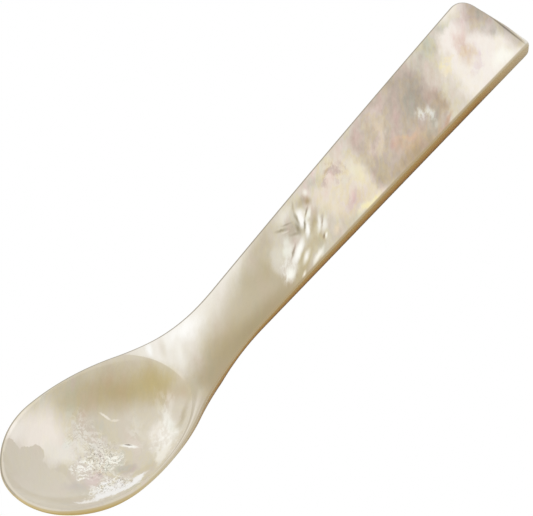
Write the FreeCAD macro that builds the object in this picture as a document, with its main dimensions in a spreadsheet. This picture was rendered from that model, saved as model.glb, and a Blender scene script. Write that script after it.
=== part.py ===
"""Caviar spoon carved from one piece of mother-of-pearl.

The blank is a lofted belly under the bowl with a straight slab behind it.  The
top line, the flat rest and the plan outline are sawn out of it, the bowl is
ground hollow with two half ellipsoids that share their widest section, the
outer edges are eased, and the handle's end gets a tilted facet.

Millimetres and degrees.  The origin is the middle of the bounding box's
underside, the handle points along +X, and +Z is up, out of the hollow.
"""
import FreeCAD, Part

import math
import os

import Sketcher

NODE = "caviar_spoon"

# Driving sizes.  Stations are measured along the spoon from the bowl's tip.
SIZES = [
    ("overall_length", 115.8, "tip of the bowl to the end of the handle"),
    ("bowl_width", 22.0, "widest part of the bowl"),
    ("widest_station", 14.9, "where the bowl is widest"),
    ("tip_fullness", 1.01, "plan radius of the tip as a multiple of an ellipse's there"),
    ("flank_radius", 45.0, "plan radius from the widest place towards the neck"),
    ("flare_radius", 50.0, "hollow plan radius that leads the bowl into the neck"),
    ("neck_width", 9.65, "handle width where the flare ends"),
    ("end_width", 13.8, "handle width at its end, before the corners are rounded"),
    ("far_corner_radius", 2.6, "plan radius of the end's corner on the +Y side"),
    ("near_corner_radius", 1.0, "plan radius of the end's corner on the -Y side"),
    ("tip_height", 13.7, "height of the rim plane at the tip"),
    ("rim_angle", 16.5, "rise of the rim plane towards the tip"),
    ("bend_radius", 33.0, "side-view radius between rim plane and handle"),
    ("neck_thickness", 1.75, "height of the lowest place of the top line"),
    ("crown_radius", 1040.0, "side-view radius of the handle's top"),
    ("end_thickness", 3.1, "handle thickness at its end"),
    ("toe_radius", 1.8, "rounding of the end's lower edge in side view"),
    ("toe_angle", 60.0, "how far round that edge the rounding goes"),
    ("tip_edge", 0.75, "height of the bowl's edge at the tip"),
    ("heel_station", 41.0, "where the belly is lowest and the handle begins"),
    ("heel_sink", 1.6, "depth of the belly's lowest line below the rest plane"),
    ("rim_land", 0.65, "width of the rim beside the hollow and at the tip"),
    ("hollow_station", 15.7, "where the hollow is widest"),
    ("hollow_end", 35.3, "where the hollow runs out towards the handle"),
    ("bowl_wall", 1.15, "thickness of the bowl under the widest place"),
    ("hollow_lift", 6.5, "height of the ellipsoids' centre above the rim plane"),
    ("hollow_turn", 0.4, "turn of the hollow's rear towards +Y"),
    ("facet_tilt", 42.0, "lean of the end's facet from level"),
    ("facet_turn", 9.0, "turn of the facet towards the -Y corner"),
    ("top_arris", 0.3, "easing of the upper edges"),
    ("under_arris", 0.3, "easing of the lower edges"),
]

HALF = "sizes.overall_length / 2"
"""Half the spoon's length, as an expression writes it."""

RIM_ANGLE = "(sizes.rim_angle * 1 deg)"
"""The rim plane's rise, as an expression writes it."""

SAWING_MARGIN = 3.0
"""Waste left round the finished shape, for every cut to run out into."""

LEAST_CHIP = 0.05
"""Volume in cubic millimetres that each cut takes away at the least."""

BELLY = [
    (-0.07, 1.19, 0.323),
    (0.0, 1.0, 0.328),
    (0.195, 0.578, 0.337),
    (0.39, 0.343, 0.356),
    (0.585, 0.194, 0.398),
    (0.78, 0.093, 0.425),
    (1.0, 0.0, 0.435),
]
"""The belly's sections from the tip to the heel.

Station as a share of heel_station, height of the keel as a share of its whole
drop, and rise from the keel to the bowl's full width as a share of tip_height.
"""

BELLY_SIDE = 1.04
"""Half width of the belly's sections as a multiple of half the bowl's width."""


def make_sheet(doc):
    """Write the driving sizes into a spreadsheet and return their values."""
    sheet = doc.addObject("Spreadsheet::Sheet", "sizes")
    for row, (alias, value, meaning) in enumerate(SIZES, start=1):
        sheet.set(f"A{row}", meaning)
        sheet.set(f"B{row}", str(value))
        sheet.setAlias(f"B{row}", alias)
    doc.recompute()
    return {alias: float(sheet.get(alias)) for alias, _, _ in SIZES}


def origin_plane(body, role):
    """Return the body's own origin plane with the given role."""
    return next(item for item in body.Origin.OriginFeatures if item.Role == role)


def new_sketch(body, name, role):
    """Add a sketch attached to one of the body's origin planes."""
    sketch = body.newObject("Sketcher::SketchObject", name)
    sketch.AttachmentSupport = [(origin_plane(body, role), "")]
    sketch.MapMode = "FlatFace"
    return sketch


def vec(x, y):
    """Return a point in a sketch's plane."""
    return FreeCAD.Vector(x, y, 0)


def line(sketch, start, end):
    """Add a straight edge between two (x, y) points."""
    return sketch.addGeometry(Part.LineSegment(vec(*start), vec(*end)), False)


def arc(sketch, centre, radius, first, last):
    """Add an arc that runs counter-clockwise from first to last, in radians."""
    circle = Part.Circle(vec(*centre), FreeCAD.Vector(0, 0, 1), radius)
    return sketch.addGeometry(Part.ArcOfCircle(circle, first, last), False)


def tie(sketch, kind, *items, expression=None):
    """Add a constraint and, when one is given, bind it to the spreadsheet."""
    index = sketch.addConstraint(Sketcher.Constraint(kind, *items))
    if expression is not None:
        sketch.setExpression(f"Constraints[{index}]", expression)
    return index


START, END, CENTRE = 1, 2, 3
"""Which point of an edge a constraint holds."""

ORIGIN = (-1, 1)
"""The sketch origin, as a constraint names it."""


def hold_x(sketch, edge, point, value, expression):
    """Fix a point's x by the signed distance from the sketch origin."""
    tie(sketch, "DistanceX", *ORIGIN, edge, point, value, expression=expression)


def hold_y(sketch, edge, point, value, expression):
    """Fix a point's y by the signed distance from the sketch origin."""
    tie(sketch, "DistanceY", *ORIGIN, edge, point, value, expression=expression)


def bearing(centre, point):
    """Return the angle of a point seen from a centre, in radians."""
    return math.atan2(point[1] - centre[1], point[0] - centre[0])


def belly_section(body, number, size, place, drop, rise_share):
    """Add one section of the belly: an arc below, two sides and a flat lid."""
    half_width = size["bowl_width"] / 2
    rise = rise_share * size["tip_height"]
    side, radius = BELLY_SIDE * half_width, (half_width**2 + rise**2) / (2 * rise)
    whole = size["tip_height"] - size["tip_edge"] + size["heel_sink"]
    keel = whole * drop - size["heel_sink"]
    top = 2 * size["tip_height"]
    sketch = new_sketch(body, f"belly_section_{number}", "YZ_Plane")
    sketch.AttachmentOffset = FreeCAD.Placement(
        FreeCAD.Vector(0, 0, size["heel_station"] * place - size["overall_length"] / 2),
        FreeCAD.Rotation(),
    )
    sketch.setExpression(
        "AttachmentOffset.Base.z",
        f"sizes.heel_station * {place} - {HALF}",
    )
    centre = (0.0, keel + radius)
    edge = centre[1] - math.sqrt(radius**2 - side**2)
    left, right = (-side, edge), (side, edge)
    below = arc(sketch, centre, radius, bearing(centre, left), bearing(centre, right))
    right_side = line(sketch, right, (side, top))
    lid = line(sketch, (side, top), (-side, top))
    left_side = line(sketch, (-side, top), left)
    tie(sketch, "Coincident", below, END, right_side, START)
    tie(sketch, "Coincident", right_side, END, lid, START)
    tie(sketch, "Coincident", lid, END, left_side, START)
    tie(sketch, "Coincident", left_side, END, below, START)
    tie(sketch, "Vertical", right_side)
    tie(sketch, "Vertical", left_side)
    tie(sketch, "Horizontal", lid)
    tie(sketch, "PointOnObject", below, CENTRE, -2)
    rise_text = f"({rise_share} * sizes.tip_height)"
    radius_text = f"((sizes.bowl_width / 2) ^ 2 + {rise_text} ^ 2) / (2 * {rise_text})"
    side_text = f"{BELLY_SIDE} * sizes.bowl_width / 2"
    tie(sketch, "Radius", below, radius, expression=radius_text)
    hold_y(
        sketch, below, CENTRE, centre[1],
        f"(sizes.tip_height - sizes.tip_edge + sizes.heel_sink) * {drop}"
        f" - sizes.heel_sink + {radius_text}",
    )
    hold_x(sketch, right_side, END, side, side_text)
    hold_x(sketch, left_side, START, -side, f"-({side_text})")
    hold_y(sketch, lid, START, top, "2 * sizes.tip_height")
    return sketch


def add_belly(body, size):
    """Loft the blank of the bowl, with the belly as its underside."""
    sections = [
        belly_section(body, number, size, *row) for number, row in enumerate(BELLY, start=1)
    ]
    loft = body.newObject("PartDesign::AdditiveLoft", "belly")
    loft.Profile = sections[0]
    loft.Sections = [(section, [""]) for section in sections[1:]]
    loft.Ruled = False
    loft.Closed = False
    return loft


def add_slab(body, size):
    """Pad the blank of the handle from the heel to past the end."""
    half = size["overall_length"] / 2
    side = BELLY_SIDE * size["bowl_width"] / 2
    top = 2 * size["tip_height"]
    sketch = new_sketch(body, "slab_section", "YZ_Plane")
    sketch.AttachmentOffset = FreeCAD.Placement(
        FreeCAD.Vector(0, 0, size["heel_station"] - half), FreeCAD.Rotation()
    )
    sketch.setExpression("AttachmentOffset.Base.z", f"sizes.heel_station - {HALF}")
    corners = [(-side, -SAWING_MARGIN), (side, -SAWING_MARGIN), (side, top), (-side, top)]
    side_text = f"{BELLY_SIDE} * sizes.bowl_width / 2"
    add_rectangle(
        sketch, corners, f"-({side_text})", str(-SAWING_MARGIN), side_text,
        "2 * sizes.tip_height",
    )
    pad = body.newObject("PartDesign::Pad", "handle_slab")
    pad.Profile = sketch
    pad.Length = 2 * half - size["heel_station"] + SAWING_MARGIN
    pad.setExpression(
        "Length", f"(sizes.overall_length - sizes.heel_station + {SAWING_MARGIN}) * 1 mm"
    )
    return pad


def add_rectangle(sketch, corners, left, low, right, high):
    """Draw a rectangle and bind its low left and high right corners."""
    edges = [line(sketch, corners[i], corners[(i + 1) % 4]) for i in range(4)]
    for i in range(4):
        tie(sketch, "Coincident", edges[i], END, edges[(i + 1) % 4], START)
    tie(sketch, "Horizontal", edges[0])
    tie(sketch, "Horizontal", edges[2])
    tie(sketch, "Vertical", edges[1])
    tie(sketch, "Vertical", edges[3])
    hold_x(sketch, edges[0], START, corners[0][0], left)
    hold_y(sketch, edges[0], START, corners[0][1], low)
    hold_x(sketch, edges[2], START, corners[2][0], right)
    hold_y(sketch, edges[2], START, corners[2][1], high)


def top_line(size):
    """Work out the side view's top line: rim plane, bend and crown."""
    half = size["overall_length"] / 2
    angle = math.radians(size["rim_angle"])
    slope = math.tan(angle)
    bend, crown = size["bend_radius"], size["crown_radius"]
    bend_z = size["neck_thickness"] + bend
    bend_x = (bend / math.cos(angle) - bend_z + size["tip_height"]) / slope - half
    bend_centre = (bend_x, bend_z)
    end = (half, size["end_thickness"])
    apart = math.dist(bend_centre, end)
    along = ((bend + crown) ** 2 - crown**2 + apart**2) / (2 * apart)
    aside = math.sqrt((bend + crown) ** 2 - along**2)
    ux = (end[0] - bend_centre[0]) / apart
    uz = (end[1] - bend_centre[1]) / apart
    crown_centre = (bend_x + ux * along + uz * aside, bend_z + uz * along - ux * aside)
    share = bend / (bend + crown)
    return {
        "bend_centre": bend_centre,
        "crown_centre": crown_centre,
        "rim_end": (bend_x - bend * math.sin(angle), bend_z - bend * math.cos(angle)),
        "neck": (
            bend_centre[0] + (crown_centre[0] - bend_centre[0]) * share,
            bend_centre[1] + (crown_centre[1] - bend_centre[1]) * share,
        ),
    }


def cut_top(body, size):
    """Saw the top line: all that lies above it goes."""
    half = size["overall_length"] / 2
    slope = math.tan(math.radians(size["rim_angle"]))
    marks = top_line(size)
    ahead = half + SAWING_MARGIN
    top = 3 * size["tip_height"]
    start = (-ahead, size["tip_height"] + SAWING_MARGIN * slope)
    crown, bend = marks["crown_centre"], marks["bend_centre"]
    end_z = crown[1] + math.sqrt(size["crown_radius"] ** 2 - (ahead - crown[0]) ** 2)
    sketch = new_sketch(body, "top_line", "XZ_Plane")
    rim = line(sketch, start, marks["rim_end"])
    dip = arc(
        sketch, bend, size["bend_radius"],
        bearing(bend, marks["rim_end"]), bearing(bend, marks["neck"]),
    )
    back = arc(
        sketch, crown, size["crown_radius"],
        bearing(crown, (ahead, end_z)), bearing(crown, marks["neck"]),
    )
    rear = line(sketch, (ahead, end_z), (ahead, top))
    lid = line(sketch, (ahead, top), (-ahead, top))
    front = line(sketch, (-ahead, top), start)
    tie(sketch, "Tangent", rim, END, dip, START)
    tie(sketch, "Tangent", dip, END, back, END)
    tie(sketch, "Coincident", back, START, rear, START)
    tie(sketch, "Coincident", rear, END, lid, START)
    tie(sketch, "Coincident", lid, END, front, START)
    tie(sketch, "Coincident", front, END, rim, START)
    tie(sketch, "Vertical", rear)
    tie(sketch, "Vertical", front)
    tie(sketch, "Horizontal", lid)
    ahead_text = f"{HALF} + {SAWING_MARGIN}"
    hold_x(sketch, rear, START, ahead, ahead_text)
    hold_x(sketch, front, END, -ahead, f"-({ahead_text})")
    hold_y(sketch, lid, START, top, "3 * sizes.tip_height")
    hold_y(
        sketch, rim, START, start[1],
        f"sizes.tip_height + {SAWING_MARGIN} * tan(sizes.rim_angle * 1 deg)",
    )
    tie(sketch, "Radius", dip, size["bend_radius"], expression="sizes.bend_radius")
    tie(sketch, "Radius", back, size["crown_radius"], expression="sizes.crown_radius")
    hold_y(
        sketch, dip, CENTRE, bend[1], "sizes.neck_thickness + sizes.bend_radius"
    )
    tie(
        sketch, "Angle", rim, math.radians(-size["rim_angle"]),
        expression="-sizes.rim_angle * 1 deg",
    )
    mark = sketch.addGeometry(Part.Point(vec(half, size["end_thickness"])), True)
    hold_x(sketch, mark, START, half, HALF)
    hold_y(sketch, mark, START, size["end_thickness"], "sizes.end_thickness")
    tie(sketch, "PointOnObject", mark, START, back)
    return cut_through(body, "top_cut", sketch)


def cut_through(body, name, sketch):
    """Pocket a sketch through the whole body, both ways."""
    pocket = body.newObject("PartDesign::Pocket", name)
    pocket.Profile = sketch
    pocket.Type = "ThroughAll"
    pocket.Midplane = True
    return pocket


def cut_rest(body, size):
    """Grind the flat underside and round the end's lower edge up from it."""
    half = size["overall_length"] / 2
    ahead = half + SAWING_MARGIN
    toe = size["toe_radius"]
    angle = math.radians(size["toe_angle"])
    toe_start = half - toe * math.sin(angle)
    toe_top = toe * (1 - math.cos(angle))
    lip = (ahead, toe_top + SAWING_MARGIN * math.tan(angle))
    sketch = new_sketch(body, "rest_line", "XZ_Plane")
    rest = line(sketch, (-ahead, 0.0), (toe_start, 0.0))
    curl = arc(sketch, (toe_start, toe), toe, -math.pi / 2, angle - math.pi / 2)
    ramp = line(sketch, (half, toe_top), lip)
    rear = line(sketch, lip, (ahead, -SAWING_MARGIN))
    base = line(sketch, (ahead, -SAWING_MARGIN), (-ahead, -SAWING_MARGIN))
    front = line(sketch, (-ahead, -SAWING_MARGIN), (-ahead, 0.0))
    tie(sketch, "Tangent", rest, END, curl, START)
    tie(sketch, "Tangent", curl, END, ramp, START)
    tie(sketch, "Coincident", ramp, END, rear, START)
    tie(sketch, "Coincident", rear, END, base, START)
    tie(sketch, "Coincident", base, END, front, START)
    tie(sketch, "Coincident", front, END, rest, START)
    tie(sketch, "PointOnObject", rest, START, -1)
    tie(sketch, "PointOnObject", rest, END, -1)
    tie(sketch, "Horizontal", base)
    tie(sketch, "Vertical", rear)
    tie(sketch, "Vertical", front)
    tie(sketch, "Radius", curl, toe, expression="sizes.toe_radius")
    tie(sketch, "Angle", ramp, angle, expression="sizes.toe_angle * 1 deg")
    hold_x(sketch, curl, END, half, HALF)
    ahead_text = f"{HALF} + {SAWING_MARGIN}"
    hold_x(sketch, rear, START, ahead, ahead_text)
    hold_x(sketch, front, END, -ahead, f"-({ahead_text})")
    hold_y(sketch, base, START, -SAWING_MARGIN, str(-SAWING_MARGIN))
    return cut_through(body, "rest_cut", sketch)


def outline_marks(size):
    """Work out the plan outline's centres and tangent points on the +Y side."""
    half = size["overall_length"] / 2
    wide = size["bowl_width"] / 2
    tip = size["tip_fullness"] * wide**2 / size["widest_station"]
    offset = size["widest_station"] - tip
    shoulder = (offset**2 + wide**2 - tip**2) / (2 * (wide - tip))
    tip_centre = (tip - half, 0.0)
    widest = size["widest_station"] - half
    shoulder_centre = (widest, wide - shoulder)
    span = shoulder - tip
    tip_end = (
        tip_centre[0] + (tip_centre[0] - shoulder_centre[0]) * tip / span,
        tip_centre[1] + (tip_centre[1] - shoulder_centre[1]) * tip / span,
    )
    flank, flare = size["flank_radius"], size["flare_radius"]
    flank_centre = (widest, wide - flank)
    flare_centre, neck = flare_marks(size, flank_centre)
    share = flank / (flank + flare)
    flank_end = (
        flank_centre[0] + (flare_centre[0] - flank_centre[0]) * share,
        flank_centre[1] + (flare_centre[1] - flank_centre[1]) * share,
    )
    return {
        "tip": tip,
        "tip_centre": tip_centre,
        "tip_end": tip_end,
        "shoulder": shoulder,
        "shoulder_centre": shoulder_centre,
        "widest": (widest, wide),
        "flank_centre": flank_centre,
        "flank_end": flank_end,
        "flare_centre": flare_centre,
        "neck": neck,
    }


def flare_marks(size, flank_centre):
    """Find the flare's centre: tangent to the flank and to the handle's side.

    The side runs from the neck, whose width is known and whose place is not,
    to the corner of the end, so its lean is settled by a few repetitions.
    """
    corner = (size["overall_length"] / 2, size["end_width"] / 2)
    neck_y = size["neck_width"] / 2
    flank, flare = size["flank_radius"], size["flare_radius"]
    lean = 0.0
    for _ in range(40):
        centre_y = neck_y + flare * math.cos(lean)
        rise = centre_y - flank_centre[1]
        centre_x = flank_centre[0] + math.sqrt((flank + flare) ** 2 - rise**2)
        neck_x = centre_x + flare * math.sin(lean)
        lean = math.atan2(corner[1] - neck_y, corner[0] - neck_x)
    return (centre_x, centre_y), (neck_x, neck_y)


def outline_half(sketch, size, side, tip_arc):
    """Draw one side of the plan outline; side is 1 for +Y and -1 for -Y.

    Returns the last edge, the rounded corner of the handle's end.
    """
    marks = outline_marks(size)
    half = size["overall_length"] / 2
    corner_name = "far_corner_radius" if side > 0 else "near_corner_radius"
    corner = size[corner_name]
    neck = marks["neck"]
    lean = math.atan2(size["end_width"] / 2 - neck[1], half - neck[0])
    turn = corner * math.tan((math.pi / 2 + lean) / 2)
    side_end = (half - turn * math.cos(lean), size["end_width"] / 2 - turn * math.sin(lean))
    corner_centre = (half - corner, side_end[1] - corner * math.cos(lean))

    def at(point):
        return (point[0], point[1] * side)

    def swept(centre, radius, first, last):
        """Add an arc between two +Y marks, mirrored for the -Y side."""
        angles = [bearing(at(centre), at(first)), bearing(at(centre), at(last))]
        if side > 0:
            angles.reverse()
        return arc(sketch, at(centre), radius, *angles)

    head, tail = (END, START) if side > 0 else (START, END)
    shoulder = swept(
        marks["shoulder_centre"], marks["shoulder"], marks["tip_end"], marks["widest"]
    )
    flank = swept(
        marks["flank_centre"], size["flank_radius"], marks["widest"], marks["flank_end"]
    )
    angles = [
        bearing(at(marks["flare_centre"]), at(marks["flank_end"])),
        bearing(at(marks["flare_centre"]), at(neck)),
    ]
    if side < 0:
        angles.reverse()
    flare = arc(sketch, at(marks["flare_centre"]), size["flare_radius"], *angles)
    straight = line(sketch, at(neck), at(side_end))
    rounding = swept(corner_centre, corner, side_end, (half, corner_centre[1]))
    tie(sketch, "Tangent", tip_arc, START if side > 0 else END, shoulder, head)
    tie(sketch, "Tangent", shoulder, tail, flank, head)
    tie(sketch, "Tangent", flank, tail, flare, tail)
    tie(sketch, "Tangent", flare, head, straight, START)
    tie(sketch, "Tangent", straight, END, rounding, head)
    sign = "" if side > 0 else "-"
    station = f"sizes.widest_station - {HALF}"
    hold_x(sketch, shoulder, tail, marks["widest"][0], station)
    hold_y(sketch, shoulder, tail, side * marks["widest"][1], f"{sign}sizes.bowl_width / 2")
    hold_x(sketch, shoulder, CENTRE, marks["widest"][0], station)
    tie(sketch, "Radius", flank, size["flank_radius"], expression="sizes.flank_radius")
    tie(sketch, "Radius", flare, size["flare_radius"], expression="sizes.flare_radius")
    tie(sketch, "Radius", rounding, corner, expression=f"sizes.{corner_name}")
    hold_y(sketch, straight, START, side * neck[1], f"{sign}sizes.neck_width / 2")
    mark = sketch.addGeometry(Part.Point(vec(half, side * size["end_width"] / 2)), True)
    hold_x(sketch, mark, START, half, HALF)
    hold_y(
        sketch, mark, START, side * size["end_width"] / 2, f"{sign}sizes.end_width / 2"
    )
    tie(sketch, "PointOnObject", mark, START, straight)
    return rounding, tail, corner_centre[1] * side


def cut_outline(body, size):
    """Saw the plan outline: the waste between it and a frame round it goes."""
    half = size["overall_length"] / 2
    marks = outline_marks(size)
    centre = marks["tip_centre"]
    upper = marks["tip_end"]
    lower = (upper[0], -upper[1])
    sketch = new_sketch(body, "plan_outline", "XY_Plane")
    tip = arc(
        sketch, centre, marks["tip"],
        bearing(centre, upper), bearing(centre, lower) + 2 * math.pi,
    )
    far, far_tail, far_y = outline_half(sketch, size, 1, tip)
    near, near_tail, near_y = outline_half(sketch, size, -1, tip)
    end = line(sketch, (half, near_y), (half, far_y))
    tie(sketch, "Vertical", end)
    tie(sketch, "Tangent", near, near_tail, end, START)
    tie(sketch, "Tangent", end, END, far, far_tail)
    hold_x(sketch, end, START, half, HALF)
    tie(sketch, "PointOnObject", tip, CENTRE, -1)
    radius_text = "sizes.tip_fullness * (sizes.bowl_width / 2) ^ 2 / sizes.widest_station"
    tie(sketch, "Radius", tip, marks["tip"], expression=radius_text)
    hold_x(sketch, tip, CENTRE, centre[0], f"{radius_text} - {HALF}")
    add_frame(sketch, size)
    return cut_through(body, "outline_cut", sketch)


def add_frame(sketch, size):
    """Draw the rectangle that bounds the waste round the plan outline."""
    across = size["bowl_width"] / 2 + 2 * SAWING_MARGIN
    ahead = size["overall_length"] / 2 + 2 * SAWING_MARGIN
    ahead_text = f"{HALF} + {2 * SAWING_MARGIN}"
    across_text = f"sizes.bowl_width / 2 + {2 * SAWING_MARGIN}"
    corners = [(-ahead, -across), (ahead, -across), (ahead, across), (-ahead, across)]
    add_rectangle(
        sketch, corners, f"-({ahead_text})", f"-({across_text})", ahead_text, across_text
    )


def place_hollow(doc, size):
    """Work out the hollow's depth and reaches in cells of their own.

    The hollow follows from the rim's width, the bowl's wall and the place where
    it runs out, so it stays inside the bowl when the bowl's sizes change.
    """
    sheet = doc.getObject("sizes")
    row = len(SIZES) + 2
    whole = "(tip_height - tip_edge + heel_sink)"
    keel = f"({whole} * {belly_share(size)} - heel_sink)"
    derived = [
        ("hollow_depth", "=(tip_height - hollow_station * tan(rim_angle * 1 deg)"
         f" - {keel} - bowl_wall) * cos(rim_angle * 1 deg)", "depth below the rim plane"),
        ("hollow_factor", "=sqrt(1 - (hollow_lift / (hollow_depth + hollow_lift)) ^ 2)",
         "share of the ellipsoids' radii that shows in the rim plane"),
        ("hollow_across", "=(bowl_width / 2 - rim_land) / hollow_factor",
         "radius across of both ellipsoids"),
        ("hollow_forward",
         "=(hollow_station - rim_land) / cos(rim_angle * 1 deg) / hollow_factor",
         "radius of the front ellipsoid towards the tip"),
        ("hollow_backward",
         "=(hollow_end - hollow_station) / cos(rim_angle * 1 deg) / hollow_factor",
         "radius of the rear ellipsoid towards the handle"),
    ]
    for offset, (alias, formula, meaning) in enumerate(derived):
        sheet.set(f"A{row + offset}", meaning)
        sheet.set(f"B{row + offset}", formula)
        sheet.setAlias(f"B{row + offset}", alias)
    doc.recompute()


def belly_share(size):
    """Return the keel's share of its drop at the hollow's widest place."""
    place = size["hollow_station"] / size["heel_station"]
    rows = zip(BELLY, BELLY[1:])
    (low, first, _), (high, second, _) = next(
        pair for pair in rows if pair[0][0] <= place <= pair[1][0]
    )
    return first + (second - first) * (place - low) / (high - low)


def place_tool(tool, body, corner, turns):
    """Place a cutting tool by expressions.

    corner holds its x, y and z, and turns the (axis, degrees) pairs of its
    rotation, the outermost first.
    """
    tool.AttachmentSupport = [(origin_plane(body, "XY_Plane"), "")]
    tool.MapMode = "FlatFace"
    rotation = " * ".join(f"rotation(vector({axis}); {angle})" for axis, angle in turns)
    where = "; ".join(f"({part}) * 1 mm" for part in corner)
    tool.setExpression("AttachmentOffset", f"placement(vector({where}); {rotation})")


def grind_hollow(body, name, forwards):
    """Cut half an ellipsoid into the rim plane, towards the tip or the handle.

    Both halves share their widest section, so they meet without a crease.
    Radius1 stands up, Radius2 lies across the spoon and Radius3 along it.
    """
    tool = body.newObject("PartDesign::SubtractiveEllipsoid", name)
    reach = "hollow_forward" if forwards else "hollow_backward"
    tool.setExpression("Radius1", "(sizes.hollow_depth + sizes.hollow_lift) * 1 mm")
    tool.setExpression("Radius2", "sizes.hollow_across * 1 mm")
    tool.setExpression("Radius3", f"sizes.{reach} * 1 mm")
    tool.Angle1 = -90.0
    tool.Angle2 = 90.0
    tool.Angle3 = 180.0
    corner = [
        f"sizes.hollow_station - {HALF} + sizes.hollow_lift * sin{RIM_ANGLE}",
        "0",
        f"sizes.tip_height - sizes.hollow_station * tan{RIM_ANGLE}"
        f" + sizes.hollow_lift * cos{RIM_ANGLE}",
    ]
    turns = [
        ("0; 1; 0", "sizes.rim_angle"),
        ("0; 0; 1", "sizes.hollow_turn"),
        ("0; 0; 1", "90" if forwards else "-90"),
    ]
    place_tool(tool, body, corner, turns)
    return tool


def grind_facet(body):
    """Cut the tilted facet off the -Y half of the end's upper edge."""
    tool = body.newObject("PartDesign::SubtractiveCylinder", "end_facet")
    tool.setExpression("Radius", "sizes.end_width * 1 mm")
    tool.setExpression("Height", "sizes.end_width * 1 mm")
    turns = [("0; 0; 1", "-sizes.facet_turn"), ("0; 1; 0", "sizes.facet_tilt")]
    place_tool(tool, body, [HALF, "0", "sizes.end_thickness"], turns)
    return tool


def face_kind(face):
    """Tell a wall, the top, the underside and the hollow apart."""
    first_u, last_u, first_v, last_v = face.ParameterRange
    tilt = face.normalAt((first_u + last_u) / 2, (first_v + last_v) / 2).z
    flat_or_round = isinstance(face.Surface, (Part.Plane, Part.Cylinder))
    if abs(tilt) < 0.01:
        return "wall"
    if tilt < 0:
        return "under"
    return "top" if flat_or_round else "hollow"


def edges_between(shape, first, second):
    """Return the names of the edges where faces of two kinds meet."""
    names = []
    for number, edge in enumerate(shape.Edges, start=1):
        kinds = [face_kind(face) for face in shape.ancestorsOfType(edge, Part.Face)]
        if sorted(kinds) == sorted([first, second]):
            names.append(f"Edge{number}")
    return names


def ease(body, name, kinds, alias):
    """Round the edges where faces of the two kinds meet."""
    base = body.Tip
    fillet = body.newObject("PartDesign::Fillet", name)
    fillet.Base = (base, edges_between(base.Shape, *kinds))
    fillet.setExpression("Radius", f"sizes.{alias} * 1 mm")
    return fillet


def carve(doc, body, step, *arguments):
    """Run one cutting step and stop unless it took something away."""
    before = body.Shape.Volume
    feature = step(body, *arguments)
    doc.recompute()
    if body.Shape.Volume > before - LEAST_CHIP:
        raise RuntimeError(f"{feature.Name} cut nothing")


def check(doc, body):
    """Stop when an object failed or the spoon isn't one sound solid."""
    for item in doc.Objects:
        if "Invalid" in item.State or "Error" in item.State:
            raise RuntimeError(f"{item.Name} failed: {item.State}")
    shape = body.Shape
    if shape.isNull() or not shape.isValid() or len(shape.Solids) != 1:
        raise RuntimeError("the spoon is not one sound solid")


def build():
    """Make the document, check it and write the spoon."""
    doc = FreeCAD.newDocument(NODE)
    size = make_sheet(doc)
    place_hollow(doc, size)
    body = doc.addObject("PartDesign::Body", NODE)
    body.Label = NODE
    add_belly(body, size)
    add_slab(body, size)
    doc.recompute()
    carve(doc, body, cut_top, size)
    carve(doc, body, cut_rest, size)
    carve(doc, body, cut_outline, size)
    carve(doc, body, grind_hollow, "hollow_towards_tip", True)
    carve(doc, body, grind_hollow, "hollow_towards_handle", False)
    carve(doc, body, ease, "under_easing", ("wall", "under"), "under_arris")
    carve(doc, body, ease, "top_easing", ("wall", "top"), "top_arris")
    carve(doc, body, grind_facet)
    body.Placement = FreeCAD.Placement()
    check(doc, body)
    os.makedirs("parts", exist_ok=True)
    body.Shape.exportStep(f"parts/{body.Label}.step")


build()
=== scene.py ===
"""A mother-of-pearl caviar spoon on a white ground, seen as in its photograph."""

import logging
import math
from dataclasses import dataclass
from enum import Enum
from typing import Callable, Iterable

import bmesh
import bpy
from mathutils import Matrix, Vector

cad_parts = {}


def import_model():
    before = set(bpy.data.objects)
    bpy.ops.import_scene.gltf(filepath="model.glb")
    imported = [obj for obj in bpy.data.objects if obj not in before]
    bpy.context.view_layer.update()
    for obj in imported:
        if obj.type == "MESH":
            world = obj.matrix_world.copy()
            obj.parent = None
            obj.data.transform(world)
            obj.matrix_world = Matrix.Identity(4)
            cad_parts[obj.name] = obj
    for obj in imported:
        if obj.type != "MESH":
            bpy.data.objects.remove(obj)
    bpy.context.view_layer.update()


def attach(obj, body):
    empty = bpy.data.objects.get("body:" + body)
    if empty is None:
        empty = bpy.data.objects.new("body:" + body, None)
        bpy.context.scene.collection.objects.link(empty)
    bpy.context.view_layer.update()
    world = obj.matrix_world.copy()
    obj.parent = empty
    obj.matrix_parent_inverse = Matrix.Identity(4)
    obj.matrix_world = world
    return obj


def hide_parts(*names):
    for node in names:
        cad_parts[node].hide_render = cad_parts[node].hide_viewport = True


log = logging.getLogger("caviar_spoon")

NODE = "caviar_spoon"
MM = 0.001
DOWN = "down_the_wall"
"""Mesh attribute: nought on the top, one on the underside, and between on the wall."""

IMAGE_WIDTH_PX = 533

HALVINGS = 60
"""How often a stretch is halved to find a place in it."""

Point = tuple[float, float]
Socket = bpy.types.NodeSocket


class Side(Enum):
    """The two long sides of the spoon, as the sign of Y."""

    FAR = 1
    NEAR = -1


def linear(hex_colour: str) -> tuple[float, float, float, float]:
    """Turn an sRGB colour into the linear one that shaders take.

    Args:
        hex_colour: Six hexadecimal digits after a number sign.

    Returns:
        Red, green, blue and an alpha of one.
    """
    parts = [int(hex_colour[i : i + 2], 16) / 255 for i in (1, 3, 5)]
    made = [c / 12.92 if c <= 0.04045 else ((c + 0.055) / 1.055) ** 2.4 for c in parts]
    return (made[0], made[1], made[2], 1.0)


def between(first: Point, second: Point, share: float) -> Point:
    """Return the point at a share of the way from one point to another."""
    return (
        first[0] + (second[0] - first[0]) * share,
        first[1] + (second[1] - first[1]) * share,
    )


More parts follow.
